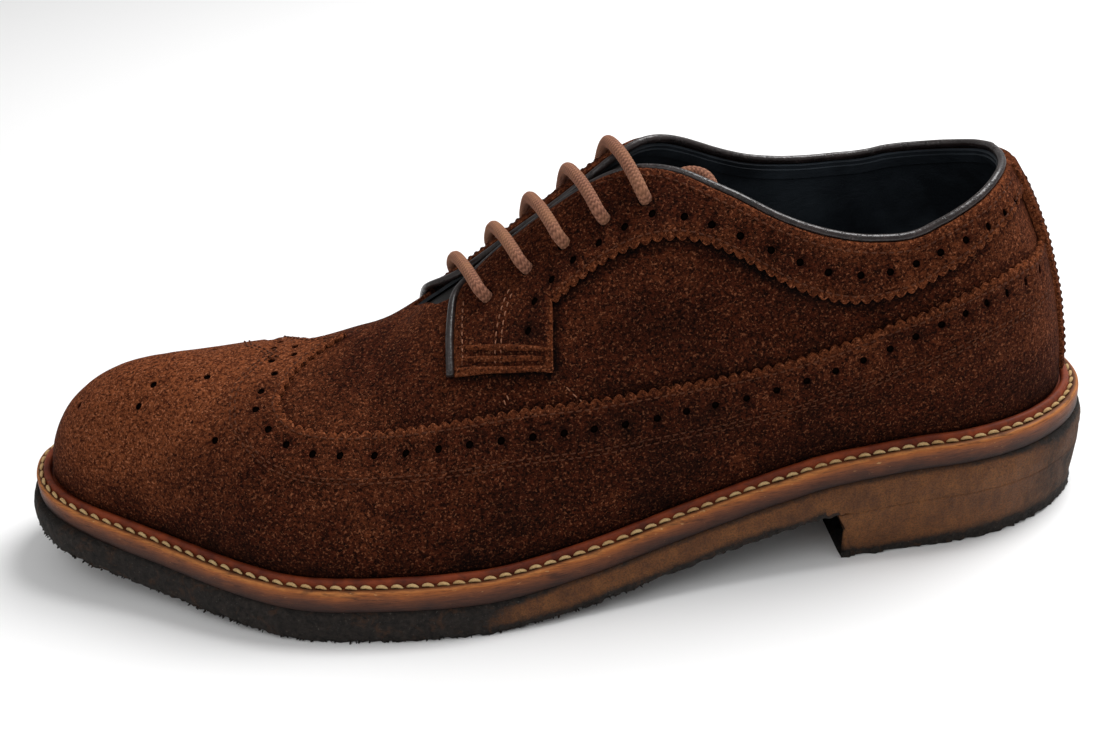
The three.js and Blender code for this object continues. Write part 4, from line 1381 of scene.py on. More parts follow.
def make_camera():
    """Place, turn and lens of the camera."""
    level = math.cos(CAMERA_ELEVATION)
    across = -math.sin(CAMERA_AZIMUTH) * level
    back = Vector((across, -math.cos(CAMERA_AZIMUTH) * level, math.sin(CAMERA_ELEVATION)))
    right = (-back).cross(Vector((0, 0, 1))).normalized()
    up = right.cross(-back)
    turned = right * math.cos(CAMERA_ROLL) + up * math.sin(CAMERA_ROLL)
    risen = up * math.cos(CAMERA_ROLL) - right * math.sin(CAMERA_ROLL)
    place = (CAMERA_TARGET + back * CAMERA_DISTANCE + Vector(GROUP_SHIFT)) * MILLIMETRE
    turn = Matrix((turned, risen, back)).transposed().to_4x4()
    data = bpy.data.cameras.new("camera")
    data.lens = CAMERA_LENS
    data.sensor_width = 36
    data.clip_start = 0.01
    camera = bpy.data.objects.new("camera", data)
    camera.matrix_world = Matrix.Translation(place) @ turn
    bpy.context.scene.collection.objects.link(camera)
    bpy.context.scene.camera = camera


make_camera()

# The lace, its free end first.
BRAID_PITCH = 1.15
BRAID_COLUMNS = 9
BRAID_DEPTH = 0.13
LACE_STEP = 0.27
LACE_SIDES = 32


def braid(run, turn):
    """Height of the yarns of a round braided lace at lengths and turns."""
    column = turn * BRAID_COLUMNS
    within = np.abs(column - np.floor(column) - 0.5)
    ridge = 0.5 + 0.5 * np.cos(2 * np.pi * (run / BRAID_PITCH + within))
    return ridge * np.sqrt(np.cos(np.pi * (within * 0.9)))


def lace(points):
    """A braided cord through points, with its marks, which darken the grooves between the yarns as painted
    shade.
    """
    count = int(round(lengths(np.asarray(points))[-1] / LACE_STEP))
    line = curve_through(points, count)

    def swell(run, turn):
        return BRAID_DEPTH * (braid(run, turn) - 1)

    body = tube(line, LACE_RADIUS, LACE_SIDES, swell)
    turn = np.arange(LACE_SIDES) / LACE_SIDES
    marks = braid(lengths(line)[:, None], turn[None, :]).ravel()
    return body, np.concatenate([marks, [0.5, 0.5]]), line


def tail_points():
    """Points along the lace's loose end, each at its own depth under the upper's face."""
    rows = np.array(LACE_TAIL)
    flat = pattern_point(rows[:, 0], rows[:, 1])
    depth = UPPER_WALL + CLEARANCE + LACE_RADIUS * (1 + rows[:, 2])
    return surface(flat) - outward(flat) * depth[:, None]


cotton = lace_finish()
tail_body, tail_braid_shade, tail_line = lace(tail_points())
tail = piece("lace_end", tail_body, cotton, ["lace_tail"], {"braid": tail_braid_shade})
TIP_LENGTH = 11.0
TIP_RADIUS = 1.84
tip_start = int(np.searchsorted(lengths(tail_line), lengths(tail_line)[-1] - TIP_LENGTH))
tip = piece("lace_tip", tube(tail_line[tip_start::4], TIP_RADIUS, 16), tip_finish())

# Each bar over the facings: share of the way from its outer to its inner eyelet, and its height.
BAR_STOPS = [
    (-0.035, -4.6),
    (-0.012, -2.4),
    (0.0, -0.2),
    (0.004, 1.7),
    (0.035, 3.7),
    (0.14, 4.05),
    (0.34, 4.2),
    (0.5, 4.2),
    (0.66, 4.2),
    (0.86, 4.05),
    (0.965, 3.7),
    (0.996, 1.7),
    (1.0, -0.2),
    (1.012, -2.4),
    (1.035, -4.6),
]
for number, (start, end) in enumerate(zip(eyelets[1], eyelets[-1])):
    shares, heights = np.array(BAR_STOPS).T[:, :, None]
    flat = mix(start, end, shares)
    flat = flat + np.array([[(number * 37 % 5 - 2) * 0.12, 0.0]])
    bar_body, bar_braid_shade, _ = lace(surface(flat) + outward(flat) * heights)
    name = f"lace_bar_{number + 1}"
    piece(f"lace_across_{number + 1}", bar_body, cotton, [name], {"braid": bar_braid_shade})

# The upper.
def mirrored(rows):
    """Rows of walk and up on both sides."""
    return [(side * walk, up) for walk, up in rows for side in SIDES]


def to_side(rows, side):
    """Rows of walk and up on one side."""
    return [(side * walk, up) for walk, up in rows]


def punched(rows):
    """Outlines of the punched holes at rows of walk and height."""
    return [hole_outline(centre, HOLE_RADIUS) for centre in placed(rows)]


def eyelet_outlines(side):
    """Outlines of the five eyelets of a side."""
    return [hole_outline(centre, EYELET_RADIUS, EYELET_CORNERS) for centre in eyelets[side]]


FEATHER_UP = 0.0008


def feather_outline():
    """The whole pattern's edge, just inside the feather line's own facets."""
    places = even_places(300)
    walks = -places[-2:0:-1]
    walks = np.concatenate([walks, places])
    return pattern_point(walks, np.full(len(walks), FEATHER_UP))


FEATHER = feather_outline()

# Patches of wear and painted light: place on the last, size, and how much lighter the nap is there. The
# lighter toe top is partly a painted highlight, and the dark patches along the creases and low on the sides
# are painted shade.
WEAR_AND_LIGHT_PATCHES = [
    ((0.93, 0.6), 22, 0.55),
    ((0.86, 0.8), 24, 0.57),
    ((0.79, 0.92), 22, 0.3),
    ((-0.9, 0.7), 24, 0.4),
    ((0.709, 0.96), 12, 0.35),
    ((-0.7, 0.93), 14, 0.35),
    ((0.6, 0.97), 13, 0.08),
    ((0.62, 0.8), 14, -0.15),
    ((0.66, 0.45), 22, 0.16),
    ((0.55, 0.7), 9, 0.0),
    ((0.42, 0.74), 12, -0.03),
    ((0.34, 0.68), 12, -0.03),
    ((0.3, 0.6), 12, 0.0),
    ((0.24, 0.44), 14, 0.1),
    ((0.16, 0.44), 14, 0.12),
    ((0.1, 0.5), 13, 0.25),
    ((0.09, 0.36), 13, 0.16),
    ((0.07, 0.2), 12, 0.2),
    ((0.4, 0.45), 8, -0.1),
    ((0.36, 0.4), 8, -0.1),
    ((0.3, 0.35), 8, -0.1),
    ((0.25, 0.335), 8, -0.12),
    ((0.2, 0.34), 8, -0.16),
    ((0.44, 0.33), 11, -0.14),
    ((0.34, 0.21), 11, -0.1),
    ((0.2, 0.11), 12, -0.06),
    ((0.25, 0.1), 12, -0.06),
    ((0.39, 0.14), 14, -0.16),
    ((0.5, 0.6), 8, -0.12),
    ((0.52, 0.5), 8, -0.08),
    ((0.55, 0.2), 20, -0.08),
    ((-0.3, 0.3), 24, -0.12),
    ((-0.55, 0.3), 24, -0.1),
    ((-0.1, 0.4), 18, 0.15),
]


def beside(points, line, reach):
    """How near points lie to a line of points, from 1 on it to 0 away from it."""
    tree = KDTree(len(line))
    for i, point in enumerate(line):
        tree.insert(point, i)
    tree.balance()
    away = np.array([tree.find(point)[2] for point in points])
    return np.exp(-((away / reach) ** 2))


# Tones by a distance: how much at nought, and how far until it has faded.
WELT_SHADE_AND_DIRT = (-0.45, 5.5)
HOLE_SHADE = (-0.15, 0.35)
EDGE_HIGHLIGHT_FADE = 0.85
HOLE_WALL_SHADE = 0.1


def nap_tone(points):
    """How light the nap is at points, from the patches of wear and painted light, and from the darkening by
    the welt, which is painted shade with dirt.
    """
    centres = on_last([place for place, _, _ in WEAR_AND_LIGHT_PATCHES])
    total = np.zeros(len(points))
    for centre, (_, size, amount) in zip(centres, WEAR_AND_LIGHT_PATCHES):
        total += amount * np.exp(-np.sum((points - centre) ** 2, axis=1) / size**2)
    above_welt = points[:, 2] - underside_at(points[:, 0]) - SEAT_LIFT
    # Painted shade with dirt: the nap darkens close above the welt.
    total += WELT_SHADE_AND_DIRT[0] * np.exp(-np.clip(above_welt, 0, None) / WELT_SHADE_AND_DIRT[1])
    return total


def cut_tone(cut, edge=0.45, under=()):
    """Tone of a cut piece: a painted highlight along its raw edges, painted shade round its holes and down
    their walls, and painted shadows beside lines over it.
    """
    # Painted shade round the holes, and a painted highlight along the raw edges.
    hole_shade = HOLE_SHADE[0] * np.exp(-((cut.depth / HOLE_SHADE[1]) ** 2))
    edge_highlight = edge * np.exp(-((cut.depth / EDGE_HIGHLIGHT_FADE) ** 2))
    worn = nap_tone(cut.base) + np.where(cut.at_hole, hole_shade, edge_highlight)
    for line, amount, reach in under:
        # Painted shadow beside the edges of pieces lying over this one.
        worn -= amount * beside(cut.base, surface(line), reach)
    # The lower copy of the points is near black at the holes' rims: painted shade down the holes' walls.
    return np.concatenate([worn, np.where(cut.at_hole & (cut.depth < HOLE_WALL_SHADE), -1.0, worn)])


suede = suede_finish()
lining = lining_finish()
binding = binding_finish()
brown_thread = thread_finish("brown_thread", tone(54, 26, 17), tone(124, 72, 46))
light_thread = thread_finish("light_thread", tone(110, 58, 40), tone(226, 160, 124))

# The upper's wall: lining leather inside, suede outside, with both cut by the same outline.
whole = Cut(FEATHER, eyelet_outlines(1) + eyelet_outlines(-1), [OPENING])
LINING_TOP = -1.05
piece("upper_lining", whole.body(-UPPER_WALL, LINING_TOP - 0.05, 0.0), lining, sharp=50)


def wing_outline():
    """The scalloped edge of the wing cap, from the peak round the heel and back to the peak."""
    outer = to_side(WING_EDGE, 1)
    inner = to_side(WING_EDGE, -1)
    return curve_through(placed(outer + inner[::-1]), 700)


wing_line = wing_outline()
wing_loop = gimped(wing_line[::-1])[::-1]
wing_punches = mirrored(WING_HOLES + PEAK_HOLES + TOE_HOLES)
wing = Cut(FEATHER, punched(wing_punches), [wing_loop])
wing_body = wing.body(OVERLAY_FOOT, OVERLAY_HIGH)
piece("wing_cap_suede", wing_body, suede, ["wing_cap"], {"tone": cut_tone(wing)}, 50)


def hole_shadow_discs(rows):
    """Dark discs of painted shadow in the bottoms of punched holes."""
    centres = placed(rows)
    low = wrapped(centres, 0.02)
    high = wrapped(centres, OVERLAY_LOW + 0.1)
    return joined([tube(np.array([a, b]), HOLE_RADIUS * 0.98, 12) for a, b in zip(low, high)])


shadow = hole_shadow_finish()
piece("wing_hole_shadows", hole_shadow_discs(wing_punches), shadow)
piece("band_hole_shadows", hole_shadow_discs(mirrored(BAND_HOLES)), shadow)

walk_per_length = (TOE_TURN - HEEL_TURN) / (HEEL_APEX_X - TOE_APEX_X)


def walk_aside(half, up):
    """Place of the walk where the last is a given way aside from its middle plane, near the heel."""
    places = np.linspace(0, HEEL_TURN, 200)
    return float(np.interp(half, np.abs(last_point(rib(places), np.full(200, up))[:, 1]), places))


def facing_lead(side):
    """How far the inner facing stands ahead of the outer one, on the walk."""
    return 0 if side > 0 else INNER_LEAD * walk_per_length


def band_line(side):
    """Lower edge of the collar band, from the facing's foot to the back."""
    rows = [(side * (a + facing_lead(side) * rising(a, 0.25, 0.2)), up) for a, up in BAND_EDGE]
    return curve_through(placed(rows), 300)


CUT_STEP = 1.4


def facing_loop(side):
    """Outline of a facing and its band: collar and front edge, foot, rear edge, scalloped lower edge."""
    edge = grown[side]
    edge = edge[lengths(surface(edge)) > FACING_TUCK]
    corner = pattern_point(side * (FACING_FOOT[0] + facing_lead(side)), FACING_FOOT[1])
    band = band_line(side)
    foot = walked(np.vstack([edge[-1:], corner]), CUT_STEP)
    rear = walked(np.vstack([corner, band[:1]]), CUT_STEP)
    scallops = gimped(band) if side > 0 else gimped(band[::-1])[::-1]
    tuck = side * walk_aside(FACING_TUCK, BAND_EDGE[-1][1])
    back = pattern_point([tuck], [BAND_EDGE[-1][1]])
    return np.vstack([edge, foot[1:-1], rear[:-1], scallops, back])


# Painted shadows on the upper beside the edges of the wing and facings: line, how dark, and how far it
# reaches.
overlay_shadows = [(wing_loop, 0.2, 1.3)]
for side, where in SIDES.items():
    holes = punched(to_side(BAND_HOLES, side)) + eyelet_outlines(side)
    loop = facing_loop(side)
    overlay_shadows.append((loop, 0.5, 1.7))
    cut = Cut(loop, holes)
    body = cut.body(OVERLAY_FOOT, OVERLAY_HIGH)
    name = f"facing_{where}"
    piece(f"{name}_suede", body, suede, [name], {"tone": cut_tone(cut)}, 50)

upper_body = whole.body(LINING_TOP, 0.0, 0.1)
upper_marks = {"tone": cut_tone(whole, 0.0, overlay_shadows)}
piece("upper_suede", upper_body, suede, ["upper"], upper_marks, 50)

BACKSTAY_HALF = (11.0, 7.0)
BACKSTAY_GIMP = 0.25
BACKSTAY_DROP = 1.2
TOP_HALF = mix(*BACKSTAY_HALF, 0.6)


def backstay_line(trim, first, last, count):
    """Places up one side of the backstay, a trim inside its edge."""
    steps = np.linspace(first, last, count)
    walks = np.array([walk_aside(mix(*BACKSTAY_HALF, up) - trim, up) for up in steps])
    return walks, steps


def backstay_loop():
    """The strip up the back, lightly scalloped along both sides, its top under the collar's edge."""
    walks, steps = backstay_line(0, *BACKSTAY_UP, 16)
    outer = gimped(curve_through(pattern_point(walks, steps), 120)[::-1], BACKSTAY_GIMP)[::-1]
    inner = gimped(curve_through(pattern_point(-walks, steps), 120), BACKSTAY_GIMP)
    lowered = [aside(edges[side], -side * BACKSTAY_DROP) for side in SIDES]
    top = [edge[lengths(surface(edge)) < TOP_HALF - 0.6] for edge in lowered]
    foot = pattern_point([0.0], [BACKSTAY_UP[0]])
    return np.vstack([outer, top[0][::-1], top[1][1:], inner[::-1], foot])


backstay = Cut(backstay_loop())
body = backstay.body(BACKSTAY_FOOT, BACKSTAY_HIGH)
piece("backstay_suede", body, suede, ["backstay"], {"tone": cut_tone(backstay)}, 50)


TONGUE_ROWS = 12
TONGUE_STEP = 2.0
TONGUE_NECK = {"from": 0.43, "run": 0.03, "narrower": 0.14}


def tongue_loop():
    """Outline of the tongue: as wide all along, but narrower at its top."""
    outer = []
    inner = []
    for place in np.linspace(*TONGUE_SPAN, TONGUE_ROWS):
        centre = throat_point(place, 1, 0.0)
        scale = np.linalg.norm(directions(centre - [0, 5])[1])
        to_top = np.clip((TONGUE_NECK["from"] - place) / TONGUE_NECK["run"], 0, 1)
        half = TONGUE_HALF * (1 - TONGUE_NECK["narrower"] * to_top) / scale
        outer.append(centre[0] - [0, half])
        inner.insert(0, centre[0] + [0, half])
    return walked(np.vstack([outer, inner, outer[:1]]), TONGUE_STEP)[:-1]


tongue = Cut(tongue_loop())
TONGUE_TOP = -UPPER_WALL - 2 * CLEARANCE
body = tongue.body(TONGUE_TOP - TONGUE_THICKNESS, TONGUE_TOP)
piece("tongue_leather", body, tongue_finish(), ["tongue"], sharp=50)

# Stitching. Rows of the cut pieces lie a little inside their edges.
STITCH = {"pitch": 2.3, "length": 1.65, "radius": 0.24}
ON_OVERLAY = OVERLAY_HIGH + 0.02


def rows_beside(line, distances, height=ON_OVERLAY, trim=1.5, **size):
    """Stitch rows at distances to the right of a pattern line."""
    size = {**STITCH, **size}
    bodies = []
    for distance in distances:
        row = aside(walked(line, 1.5), distance)
        run = lengths(surface(row))
        row = row[(run > trim) & (run < run[-1] - trim)]
        bodies.append(sewn(row, height, size["pitch"], size["length"], size["radius"]))
    return bodies


def pattern_line(rows, count=60):
    """A smooth line in the pattern through rows of walk and height."""
    return curve_through(placed(rows), count)


EDGE_ROW = 1.7
WING_PAIR = (12.8, 14.2)
bodies = rows_beside(wing_line[::2], (EDGE_ROW,))
for side in SIDES:
    lower = pattern_line(to_side(WING_EDGE[2:], side))[::side]
    bodies += rows_beside(lower, WING_PAIR)
piece("wing_stitches", joined(bodies), brown_thread)
for side, where in SIDES.items():
    bodies = rows_beside(band_line(side), (-side * EDGE_ROW,))
    collar = edges[side][lengths(surface(edges[side])) > TOP_HALF + 1]
    bodies += rows_beside(collar, (-side * EDGE_ROW,))
    piece(f"band_stitches_{where}", joined(bodies), brown_thread)

# Lighter thread on the facings: the pair in front of the holes, the padded foot and the seam under it.
PAIR = [(0.501, 0.755), (0.509, 0.723), (0.516, 0.665), (0.519, 0.615), (0.521, 0.565)]
FOOT_STITCHES = [
    [(0.5555, 0.7), (0.515, 0.613), (0.481, 0.54)],
    [(0.5585, 0.672), (0.517, 0.588), (0.48, 0.515)],
    [(0.5605, 0.645), (0.518, 0.562), (0.479, 0.49)],
]
UNDER_FOOT = [(0.522, 0.525), (0.52, 0.505), (0.517, 0.462)]
REAR_SEAM = [(0.474, 0.45), (0.466, 0.408), (0.453, 0.352)]
BOLD = {"pitch": 2.3, "length": 1.5, "radius": 0.19}
for side, where in SIDES.items():
    lead = facing_lead(side)
    moved = [[(side * (walk + lead), up) for walk, up in rows] for rows in [PAIR, *FOOT_STITCHES]]
    bodies = rows_beside(pattern_line(moved[0]), (0, side * 1.6), **BOLD)
    padded = []
    for rows in moved[1:]:
        ridge = wrapped(walked(pattern_line(rows), 1.0), OVERLAY_HIGH - 0.35)
        girth = 0.95 * np.sin(np.pi * np.linspace(0.03, 0.97, len(ridge))) ** 0.3
        padded.append(tube(ridge, girth, 12))
    padded = joined(padded)
    piece(f"foot_rows_{where}", padded, suede, marks={"tone": np.full(len(padded[0]), 0.3)})
    front = edges[side]
    run = lengths(surface(front))
    bodies += rows_beside(front[run > run[-1] - 26], (-side * 2.0,), **BOLD)
    piece(f"facing_stitches_{where}", joined(bodies), light_thread)
    seams = [[(side * (walk + lead), up) for walk, up in rows] for rows in (UNDER_FOOT, REAR_SEAM)]
    bodies = rows_beside(pattern_line(seams[0], 30), (0, side * 1.5), 0.05, 0.3, **BOLD)
    bodies += rows_beside(pattern_line(seams[1], 30), (0,), 0.05, 0.3, **BOLD)
    piece(f"seam_stitches_{where}", joined(bodies), light_thread)

walks, steps = backstay_line(1.9, BACKSTAY_UP[0] + 0.02, 0.585, 14)
bodies = []
for side in SIDES:
    bodies += rows_beside(pattern_point(side * walks, steps), (0,), BACKSTAY_HIGH + 0.02, 0.5)
piece("backstay_stitches", joined(bodies), brown_thread)

# The rolled edge of collar and facings, and the flap that it turns in over the lining.
BINDING_GAP = 2.5 * CLEARANCE
ROLL_RADIUS = 1.12
ROLL_SINKS = (-5, 15)


def binding_centre():
    """Middle of the roll: on the vamp at its two ends, half way up the edge elsewhere."""
    line = np.vstack([edges[1][::-1], edges[-1][1:]])
    at = surface(line)
    tangent = unit(np.gradient(at, axis=0))
    out = outward(line)
    side = unit(np.cross(out, tangent))
    run = lengths(at)
    to_end = np.minimum(run, run[-1] - run)
    foot_run = lengths(surface(grown[1]))[-1] - lengths(surface(opening_edge(1)))[-1]
    sunk = rising(to_end, foot_run + ROLL_SINKS[0], ROLL_SINKS[1])
    middle = (OVERLAY_HIGH - UPPER_WALL) / 2
    height = mix(CLEARANCE + ROLL_RADIUS, middle, sunk)
    return at + side * (ROLL_RADIUS + BINDING_GAP) + out * height[:, None]


roll_line = binding_centre()


def roll_swell(run, turn):
    """Slight crimps where the leather turns the curves."""
    crimp = 0.05 * np.sin(run / 2.3 + 1.3 * np.sin(run / 9)) + 0.04 * np.sin(run / 0.9)
    return crimp * (0.4 + 0.6 * np.cos(2 * np.pi * turn))


roll_body = tube(roll_line, ROLL_RADIUS, 18, roll_swell)
piece("topline_roll", roll_body, binding, ["topline_binding"])

FLAP_WIDTH = 3.4
FLAP_RUN = 150
FLAP_THICKNESS = 0.55
for side, where in SIDES.items():
    edge = edges[side][::2]
    collar = edge[lengths(surface(edge)) < FLAP_RUN]
    near = aside(collar, -side * 0.3)
    far = aside(collar, -side * FLAP_WIDTH)
    flap = Cut(np.vstack([near, far[::-1]]))
    body = flap.body(-UPPER_WALL - FLAP_THICKNESS, -UPPER_WALL + 0.02, 0.0)
    piece(f"binding_flap_{where}", body, lining, sharp=50)

# The sole.
tan = welt_finish()
RIM_WIDTH = 2.2
RIM_HEIGHT = 1.7
WELT_LOW = CREPE + MIDSOLE + 2 * CLEARANCE
WELT_HIGH = WELT_LOW + WELT
RIM = OVERLAY_HIGH + 2 * CLEARANCE
GROOVE = 0.35
TOE_TRIM = 0.6
TOE_BULGE = 0.7
TOE_WALKS = (0.84, 0.08)


def to_toe(offset, change):
    """An edge offset that changes round the toe."""

    def at(walks):
        return offset + change * rising(np.abs(walks), *TOE_WALKS)

    return at


def trimmed(offset):
    """An edge offset that is smaller round the toe."""
    return to_toe(offset, -TOE_TRIM)


def bulged(offset):
    """An edge offset that is larger round the toe."""
    return to_toe(offset, TOE_BULGE)


# Rows of the welt: offset, height, and the marks for rim, worn edge and level of the side.
MARK_COLUMNS = {"rim": 2, "edge": 3, "level": 4}
WELT_ROWS = [
    (-WELT_INSET, WELT_LOW, 0, 1, 0.5),
    (trimmed(WELT_MARGIN + 0.02), WELT_LOW, 0, 1, 0.5),
    (trimmed(WELT_MARGIN + 0.06), WELT_LOW + 0.7, 0, 1, 0.62),
    (trimmed(WELT_MARGIN + 0.05), WELT_HIGH - 1.3, 0, 1, 0.74),
    (trimmed(WELT_MARGIN - 0.1), WELT_HIGH - 0.6, 0, 1, 0.88),
    (trimmed(WELT_MARGIN - 0.4), WELT_HIGH - 0.2, 0, 0.9, 1),
    (trimmed(WELT_MARGIN - 1.0), WELT_HIGH, 0, 0.25, 0.9),
    (RIM + RIM_WIDTH + 1.3, WELT_HIGH, 0, 0, 0.8),
    (RIM + RIM_WIDTH + 0.9, WELT_HIGH - GROOVE, 0, 0, 0.8),
    (RIM + RIM_WIDTH + 0.15, WELT_HIGH - GROOVE, 0.4, 0, 0.8),
    (RIM + RIM_WIDTH, WELT_HIGH + 0.3, 1, 0, 0.8),
    (RIM + RIM_WIDTH * 0.85, WELT_HIGH + RIM_HEIGHT * 0.7, 1, 0, 0.8),
    (RIM + RIM_WIDTH * 0.6, WELT_HIGH + RIM_HEIGHT * 0.97, 1, 0, 0.8),
    (RIM + RIM_WIDTH * 0.3, WELT_HIGH + RIM_HEIGHT, 1, 0, 0.8),
    (RIM + 0.1, WELT_HIGH + RIM_HEIGHT * 0.85, 1, 0, 0.8),
    (RIM - 0.15, WELT_HIGH + RIM_HEIGHT * 0.4, 1, 0, 0.8),
    (RIM - 0.2, WELT_HIGH, 1, 0, 0.8),
    (-WELT_INSET, WELT_HIGH, 1, 0, 0.8),
]
welt = Layer(WELT_ROWS, bore=True)
wave = lumps(welt.points * [1, 1, 0.3], [(13, 5, 0.16)]) + lumps(welt.points, [(3.2, 6, 0.09)])
welt.points[:, 2] += wave * (welt.lift > WELT_LOW + 0.01)
welt_marks = {key: np.array([row[k] for row in WELT_ROWS])[welt.row_of] for key, k in MARK_COLUMNS.items()}
piece("welt_strip", welt.body(), tan, ["welt"], welt_marks, 60)

SEAM_OFFSET = RIM + RIM_WIDTH + 0.55
seam_walks = np.concatenate([-SOLE_PLACES[1:-1][::-1], SOLE_PLACES, -SOLE_PLACES[-2:-1]])
seam = sole_point(seam_walks, SEAM_OFFSET)
seam = np.column_stack([seam, underside_at(seam[:, 0]) + WELT_HIGH + 0.12])
seam_up = np.tile([0.0, 0.0, 1.0], (len(seam), 1))
cream = thread_finish("cream_thread", tone(196, 144, 88), tone(255, 226, 168))
body = stitched(seam, seam_up, 4.1, 3.4, 0.52, 0.22, 0.5)
piece("welt_stitches", body, cream)

midsole = Layer(
    [
        (trimmed(WELT_MARGIN - 0.9), CREPE + 0.02),
        (trimmed(WELT_MARGIN - 0.25), CREPE + 0.1),
        (trimmed(WELT_MARGIN - 0.02), CREPE + 0.8),
        (trimmed(WELT_MARGIN + 0.06), CREPE + 1.9),
        (trimmed(WELT_MARGIN + 0.05), WELT_LOW - 0.4),
        (trimmed(WELT_MARGIN + 0.02), WELT_LOW + 0.06),
        (trimmed(WELT_MARGIN - 0.9), WELT_LOW + 0.06),
    ]
)
level = 0.5 * np.clip((midsole.lift - CREPE) / (WELT_LOW - CREPE), 0, 1)
piece("midsole_edge", midsole.body(), midsole_finish(), ["midsole"], {"level": level}, 60)

crepe = crepe_finish()
CREPE_LUMPS = ((4.5, 7, 0.22), (1.9, 8, 0.16))
FRAYED_LUMPS = ((1.2, 9, 0.75), (3.1, 10, 0.45))
TREAD_LUMPS = ((3.4, 11, 0.22),)
FRAY_REACH = 1.7
SOLE_MIDDLE = (0.0, -3.0)

# Where the crepe is black: from X on along a run, and how far up from the tread.
FOREFOOT_BLACK = {"start": 2, "run": 46}
HEEL_BLACK = {"start": 116, "run": 24, "share": 0.5}
BLACK_REACH = {"fore": 3.4, "back": 5.6, "start": 84, "run": 50}


def soot_on(points, height):
    """How dirty the crepe is: black under the forefoot, at the heel's back and along the foot."""
    x = points[:, 0]
    front = rising(-x, -FOREFOOT_BLACK["start"], FOREFOOT_BLACK["run"])
    back = HEEL_BLACK["share"] * rising(x, HEEL_BLACK["start"], HEEL_BLACK["run"])
    to_back = rising(x, BLACK_REACH["start"], BLACK_REACH["run"])
    reach = mix(BLACK_REACH["fore"], BLACK_REACH["back"], to_back)
    foot = np.exp(-((np.clip(height, 0, None) / reach) ** 2))
    return np.clip(np.maximum(np.maximum(front, back), foot), 0, 1)


def roughened(layer, edge_height):
    """Crepe lumps, with a frayed lower edge."""
    fray = np.exp(-np.clip(edge_height, 0, None) / FRAY_REACH)
    out = lumps(layer.points, CREPE_LUMPS) + lumps(layer.points, FRAYED_LUMPS) * fray
    way = unit((layer.points[:, :2] - SOLE_MIDDLE) * [0.35, 1.0])
    layer.points[:, :2] += way * out[:, None] * (layer.row_of >= 0)[:, None]
    tread = layer.row_of < 0
    layer.points[tread, 2] += np.abs(lumps(layer.points[tread], TREAD_LUMPS))


CREPE_EDGE = WELT_MARGIN + CREPE_BULGE
BREAST_X = HEEL_X - HEEL_BREAST


def over_heel(offset):
    """An edge offset that widens to the whole edge where the heel block is glued on."""

    def at(walks):
        return mix(bulged(offset)(walks), CREPE_EDGE, rising(rib(walks)["x"], BREAST_X, 3))

    return at


outsole = Layer(
    [
        (over_heel(CREPE_EDGE - 1.6), 0.0),
        (over_heel(CREPE_EDGE - 0.5), 0.15),
        (over_heel(CREPE_EDGE - 0.1), 0.8),
        (bulged(CREPE_EDGE + 0.05), 1.9),
        (bulged(CREPE_EDGE + 0.1), 3.2),
        (bulged(CREPE_EDGE + 0.05), 4.6),
        (bulged(CREPE_EDGE - 0.1), 6.0),
        (bulged(CREPE_EDGE - 0.35), 7.4),
        (bulged(CREPE_EDGE - 0.8), 8.5),
        (bulged(CREPE_EDGE - 1.6), CREPE),
    ],
    places=even_places(600),
)
roughened(outsole, np.where(outsole.points[:, 0] > BREAST_X + 1, CREPE, outsole.lift))
under = (outsole.lift < 1.0) & (outsole.points[:, 0] < BREAST_X)
height = np.where(outsole.points[:, 0] < 70, outsole.lift, CREPE)
soot = np.where(under, 1.0, soot_on(outsole.points, height))
# Painted shade along the joint: the crepe darkens along its top, just under the midsole.
soot = np.clip(soot + 0.6 * np.exp(-(((CREPE - outsole.lift) / 1.3) ** 2)), 0, 1)
piece("crepe_outsole", outsole.body(), crepe, ["outsole"], {"soot": soot})


def heel_level(flat, row):
    """Height of a heel row, a share of the way up to the sole."""
    return underside_at(flat[:, 0]) * row[3]


# Rows of the heel: offset, height, how far the breast slopes back, share of the way up to the outsole.
breast_place = mix(HEEL_TURN, TOE_TURN, (HEEL_BREAST / LAST_LENGTH - FIRST) / (END - FIRST))
HEEL_ROWS = [
    (CREPE_EDGE - HEEL_TAPER - 1.2, 0.0, BREAST_SLOPE + 0.8, 0.0),
    (CREPE_EDGE - HEEL_TAPER - 0.3, 0.15, BREAST_SLOPE + 0.1, 0.0),
    (CREPE_EDGE - HEEL_TAPER, 0.9, BREAST_SLOPE - 0.1, 0.0),
    (CREPE_EDGE - HEEL_TAPER, 2.0, BREAST_SLOPE - 0.5, 0.0),
    (CREPE_EDGE - HEEL_TAPER + 0.1, 0.0, BREAST_SLOPE * 0.8, 0.2),
    (CREPE_EDGE - HEEL_TAPER * 0.8, 0.0, BREAST_SLOPE * 0.7, 0.3),
    (CREPE_EDGE - HEEL_TAPER * 0.6, 0.0, BREAST_SLOPE * 0.55, 0.46),
    (CREPE_EDGE - HEEL_TAPER * 0.4, 0.0, BREAST_SLOPE * 0.4, 0.62),
    (CREPE_EDGE - HEEL_TAPER * 0.2, 0.0, BREAST_SLOPE * 0.2, 0.8),
    (CREPE_EDGE - 0.05, 0.0, 0.0, 0.95),
    (CREPE_EDGE, 0.05, 0.0, 1.0),
]
heel = Layer(
    HEEL_ROWS,
    places=even_places(190, breast_place),
    breast=BREAST_X,
    level=heel_level,
)
roughened(heel, heel.points[:, 2])
soot = np.clip(soot_on(heel.points, heel.points[:, 2]) + 0.07, 0, 1)
piece("crepe_heel", heel.body(), crepe, ["heel"], {"soot": soot})


